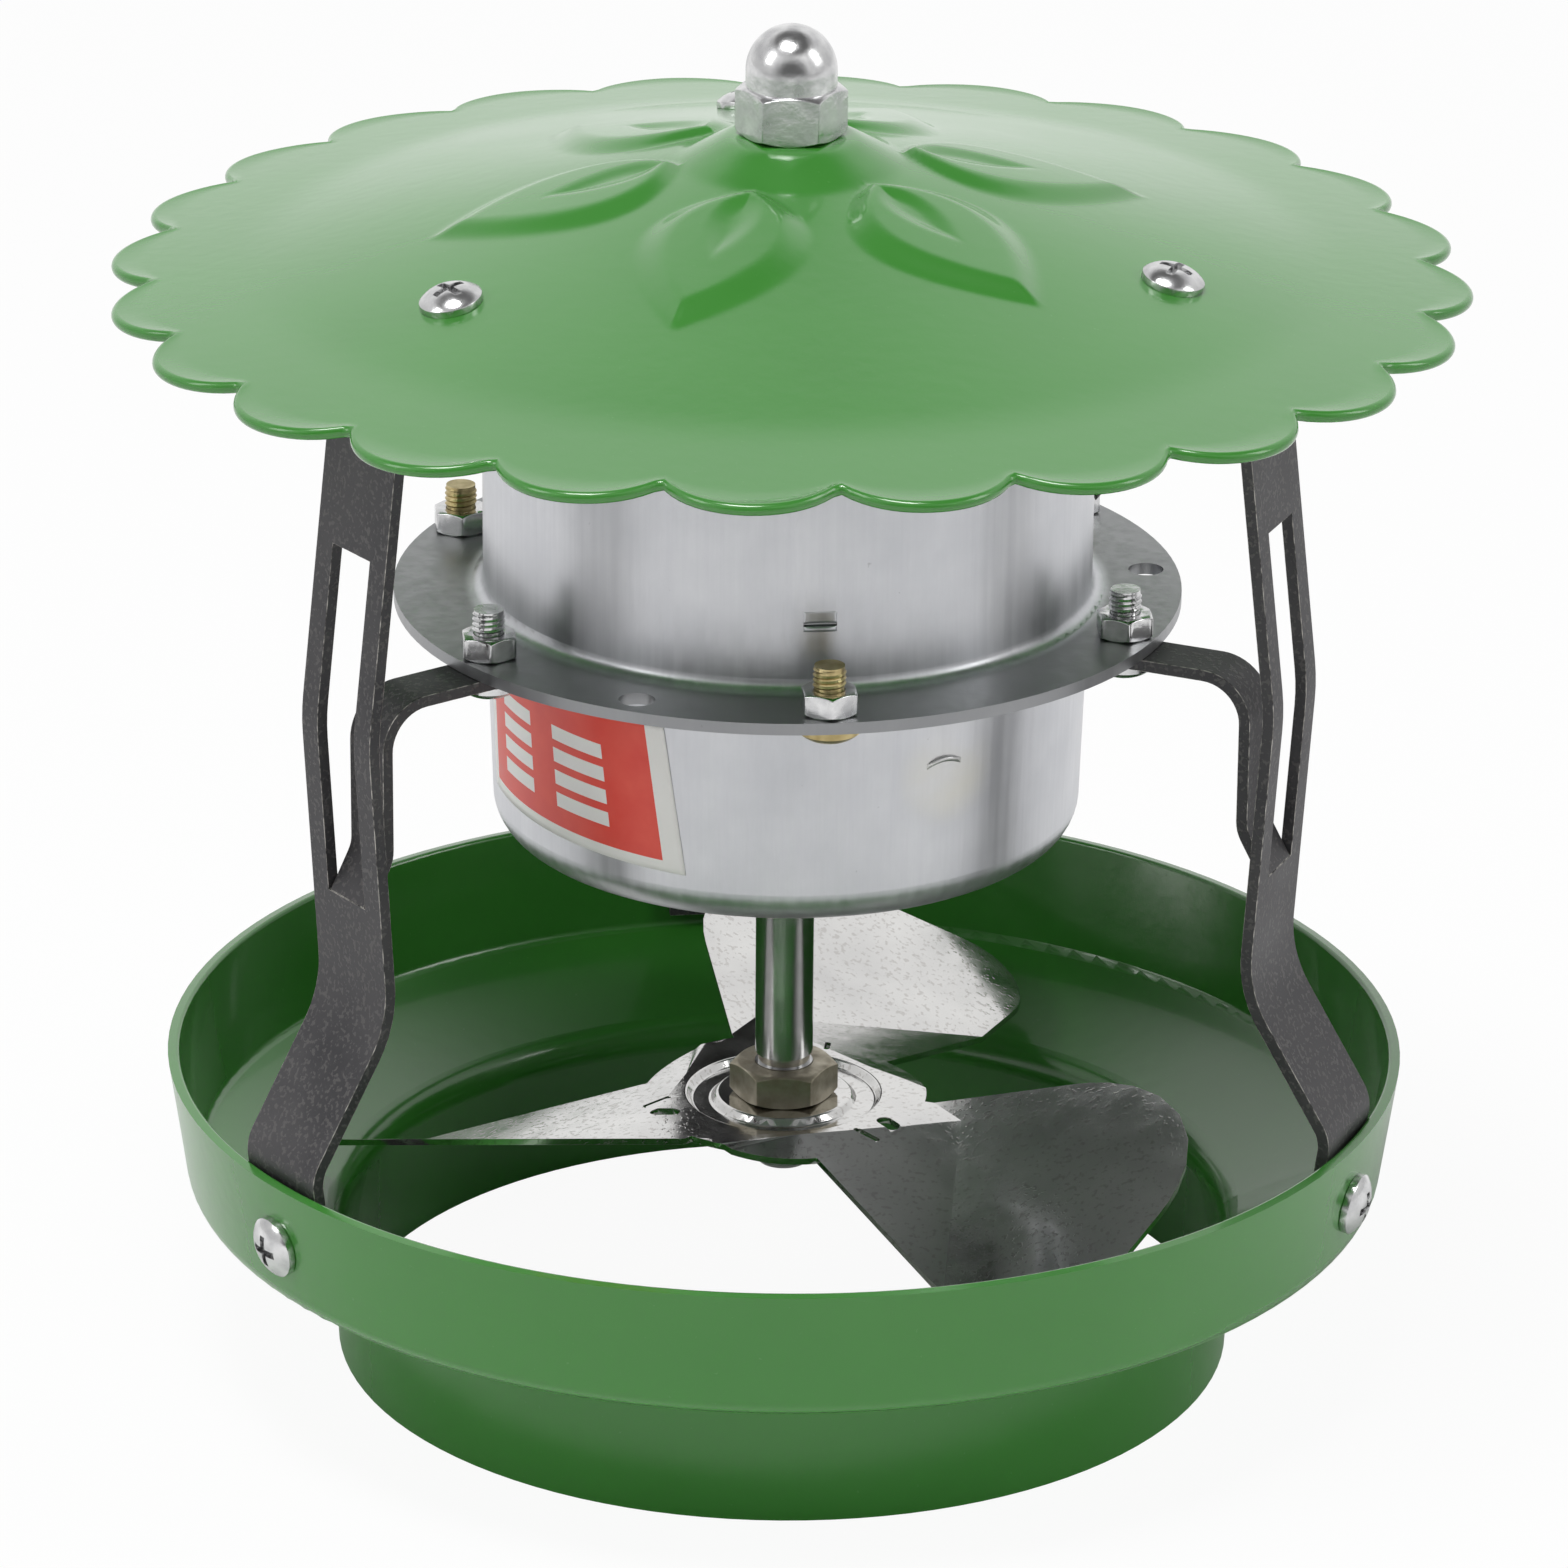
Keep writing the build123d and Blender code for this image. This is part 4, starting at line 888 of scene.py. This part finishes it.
def build_floor():
    """White to the eye; in metal it shows only away from the part and dimmer near the camera."""
    mesh = bpy.data.meshes.new("studio_floor")
    half = FLOOR_HALF
    corners = [(-half, -half, 0), (half, -half, 0), (half, half, 0), (-half, half, 0)]
    mesh.from_pydata(corners, [], [(0, 1, 2, 3)])
    floor = bpy.data.objects.new("studio_floor", mesh)
    bpy.context.scene.collection.objects.link(floor)
    material, tree, shader = new_material("studio_floor_white")
    shader.inputs["Base Color"].default_value = (0.86, 0.86, 0.86, 1)
    shader.inputs["Roughness"].default_value = 0.9
    paths = node(tree, "ShaderNodeLightPath")
    glow = node(tree, "ShaderNodeEmission")
    blend = node(tree, "ShaderNodeMixShader")
    away = node(tree, "ShaderNodeVectorMath", operation="LENGTH")
    link(tree, object_coords(tree), away.inputs[0])
    around = remap(tree, away.outputs["Value"], *FLOOR_AROUND_R)
    split = node(tree, "ShaderNodeSeparateXYZ")
    link(tree, object_coords(tree), split.inputs[0])
    near = remap(tree, split.outputs["Y"], *FLOOR_NEAR_Y)
    mirrored = math_node(tree, "MULTIPLY", around, near)
    mirrored = math_node(tree, "MULTIPLY", seen_in_metal(tree, paths), mirrored)
    shown = math_node(tree, "MAXIMUM", paths.outputs["Is Camera Ray"], mirrored)
    link(tree, math_node(tree, "MULTIPLY", shown, FLOOR_GLOW), blend.inputs[0])
    link(tree, shader.outputs[0], blend.inputs[1])
    link(tree, glow.outputs[0], blend.inputs[2])
    link(tree, blend.outputs[0], tree.nodes["Material Output"].inputs["Surface"])
    mesh.materials.append(material)


def build_world():
    """White to the eye and in metal; the light that it sheds is weaker from the camera's side."""
    world = bpy.data.worlds.new("studio_world")
    bpy.context.scene.world = world
    world.use_nodes = True
    tree = world.node_tree
    background = tree.nodes["Background"]
    paths = node(tree, "ShaderNodeLightPath")
    split = node(tree, "ShaderNodeSeparateXYZ")
    link(tree, node(tree, "ShaderNodeTexCoord").outputs["Generated"], split.inputs[0])
    behind = remap(tree, split.outputs["Y"], *SHED_BEHIND_Y)
    low = remap(tree, split.outputs["Z"], *SHED_LOW_Z)
    shed = math_node(tree, "MULTIPLY", behind, low)
    front = remap(tree, split.outputs["Y"], *MIRROR_FRONT_Y)
    overhead = remap(tree, split.outputs["Z"], *MIRROR_HIGH_Z)
    sideways = math_node(tree, "ABSOLUTE", split.outputs["X"], 0.0)
    beside = remap(tree, sideways, *MIRROR_BESIDE_X)
    mirrored = math_node(tree, "MULTIPLY", math_node(tree, "MULTIPLY", front, overhead), beside)
    unseen = mix_value(tree, seen_in_metal(tree, paths), shed, mirrored)
    background.inputs["Color"].default_value = (1, 1, 1, 1)
    link(tree, mix_value(tree, paths.outputs["Is Camera Ray"], unseen, 1.0), background.inputs["Strength"])


def add_lamp(name, place, target, size, power, mirrored=True):
    data = bpy.data.lights.new(name, "AREA")
    data.shape = "RECTANGLE"
    data.size, data.size_y = size
    data.energy = power
    lamp = bpy.data.objects.new(name, data)
    lamp.location = place
    lamp.rotation_euler = (Vector(target) - Vector(place)).to_track_quat("-Z", "Y").to_euler()
    lamp.visible_glossy = mirrored
    bpy.context.scene.collection.objects.link(lamp)


def build_camera():
    focal_px, distance, elevation, target_z, roll = 8505, 1.162, 21.78, 0.0809, 0.45
    data = bpy.data.cameras.new("photo_view")
    data.sensor_width = SENSOR_W
    data.lens = focal_px / PHOTO_PX * SENSOR_W
    camera = bpy.data.objects.new("photo_view", data)
    lift = math.radians(elevation)
    place = Vector((0, -distance * math.cos(lift), target_z + distance * math.sin(lift)))
    aim = (Vector((0, 0, target_z)) - place).to_track_quat("-Z", "Y").to_matrix().to_4x4()
    camera.matrix_world = Matrix.Translation(place) @ aim @ Matrix.Rotation(math.radians(roll), 4, "Z")
    data.shift_x = -2 / PHOTO_PX
    data.shift_y = 1 / PHOTO_PX
    data.clip_end = 100
    bpy.context.scene.collection.objects.link(camera)
    bpy.context.scene.camera = camera


build_floor()
build_world()
add_lamp("overhead_softbox", place=(-0.2, -0.35, 1.6), target=(0, 0, 0.1), size=(0.6, 0.45), power=16)
add_lamp("left_softbox", place=(-1.4, -0.6, 1.15), target=(0, 0, 0.08), size=(0.6, 0.9), power=5.5)
add_lamp("right_softbox", place=(1.4, -0.3, 1.0), target=(0, 0, 0.08), size=(0.5, 0.9), power=5)
add_lamp(
    "front_fill", place=(0.2, -1.7, 0.035), target=(0, 0, 0.035), size=(0.9, 0.06), power=4,
    mirrored=False,
)
build_camera()

bpy.context.scene.view_settings.view_transform = "Standard"
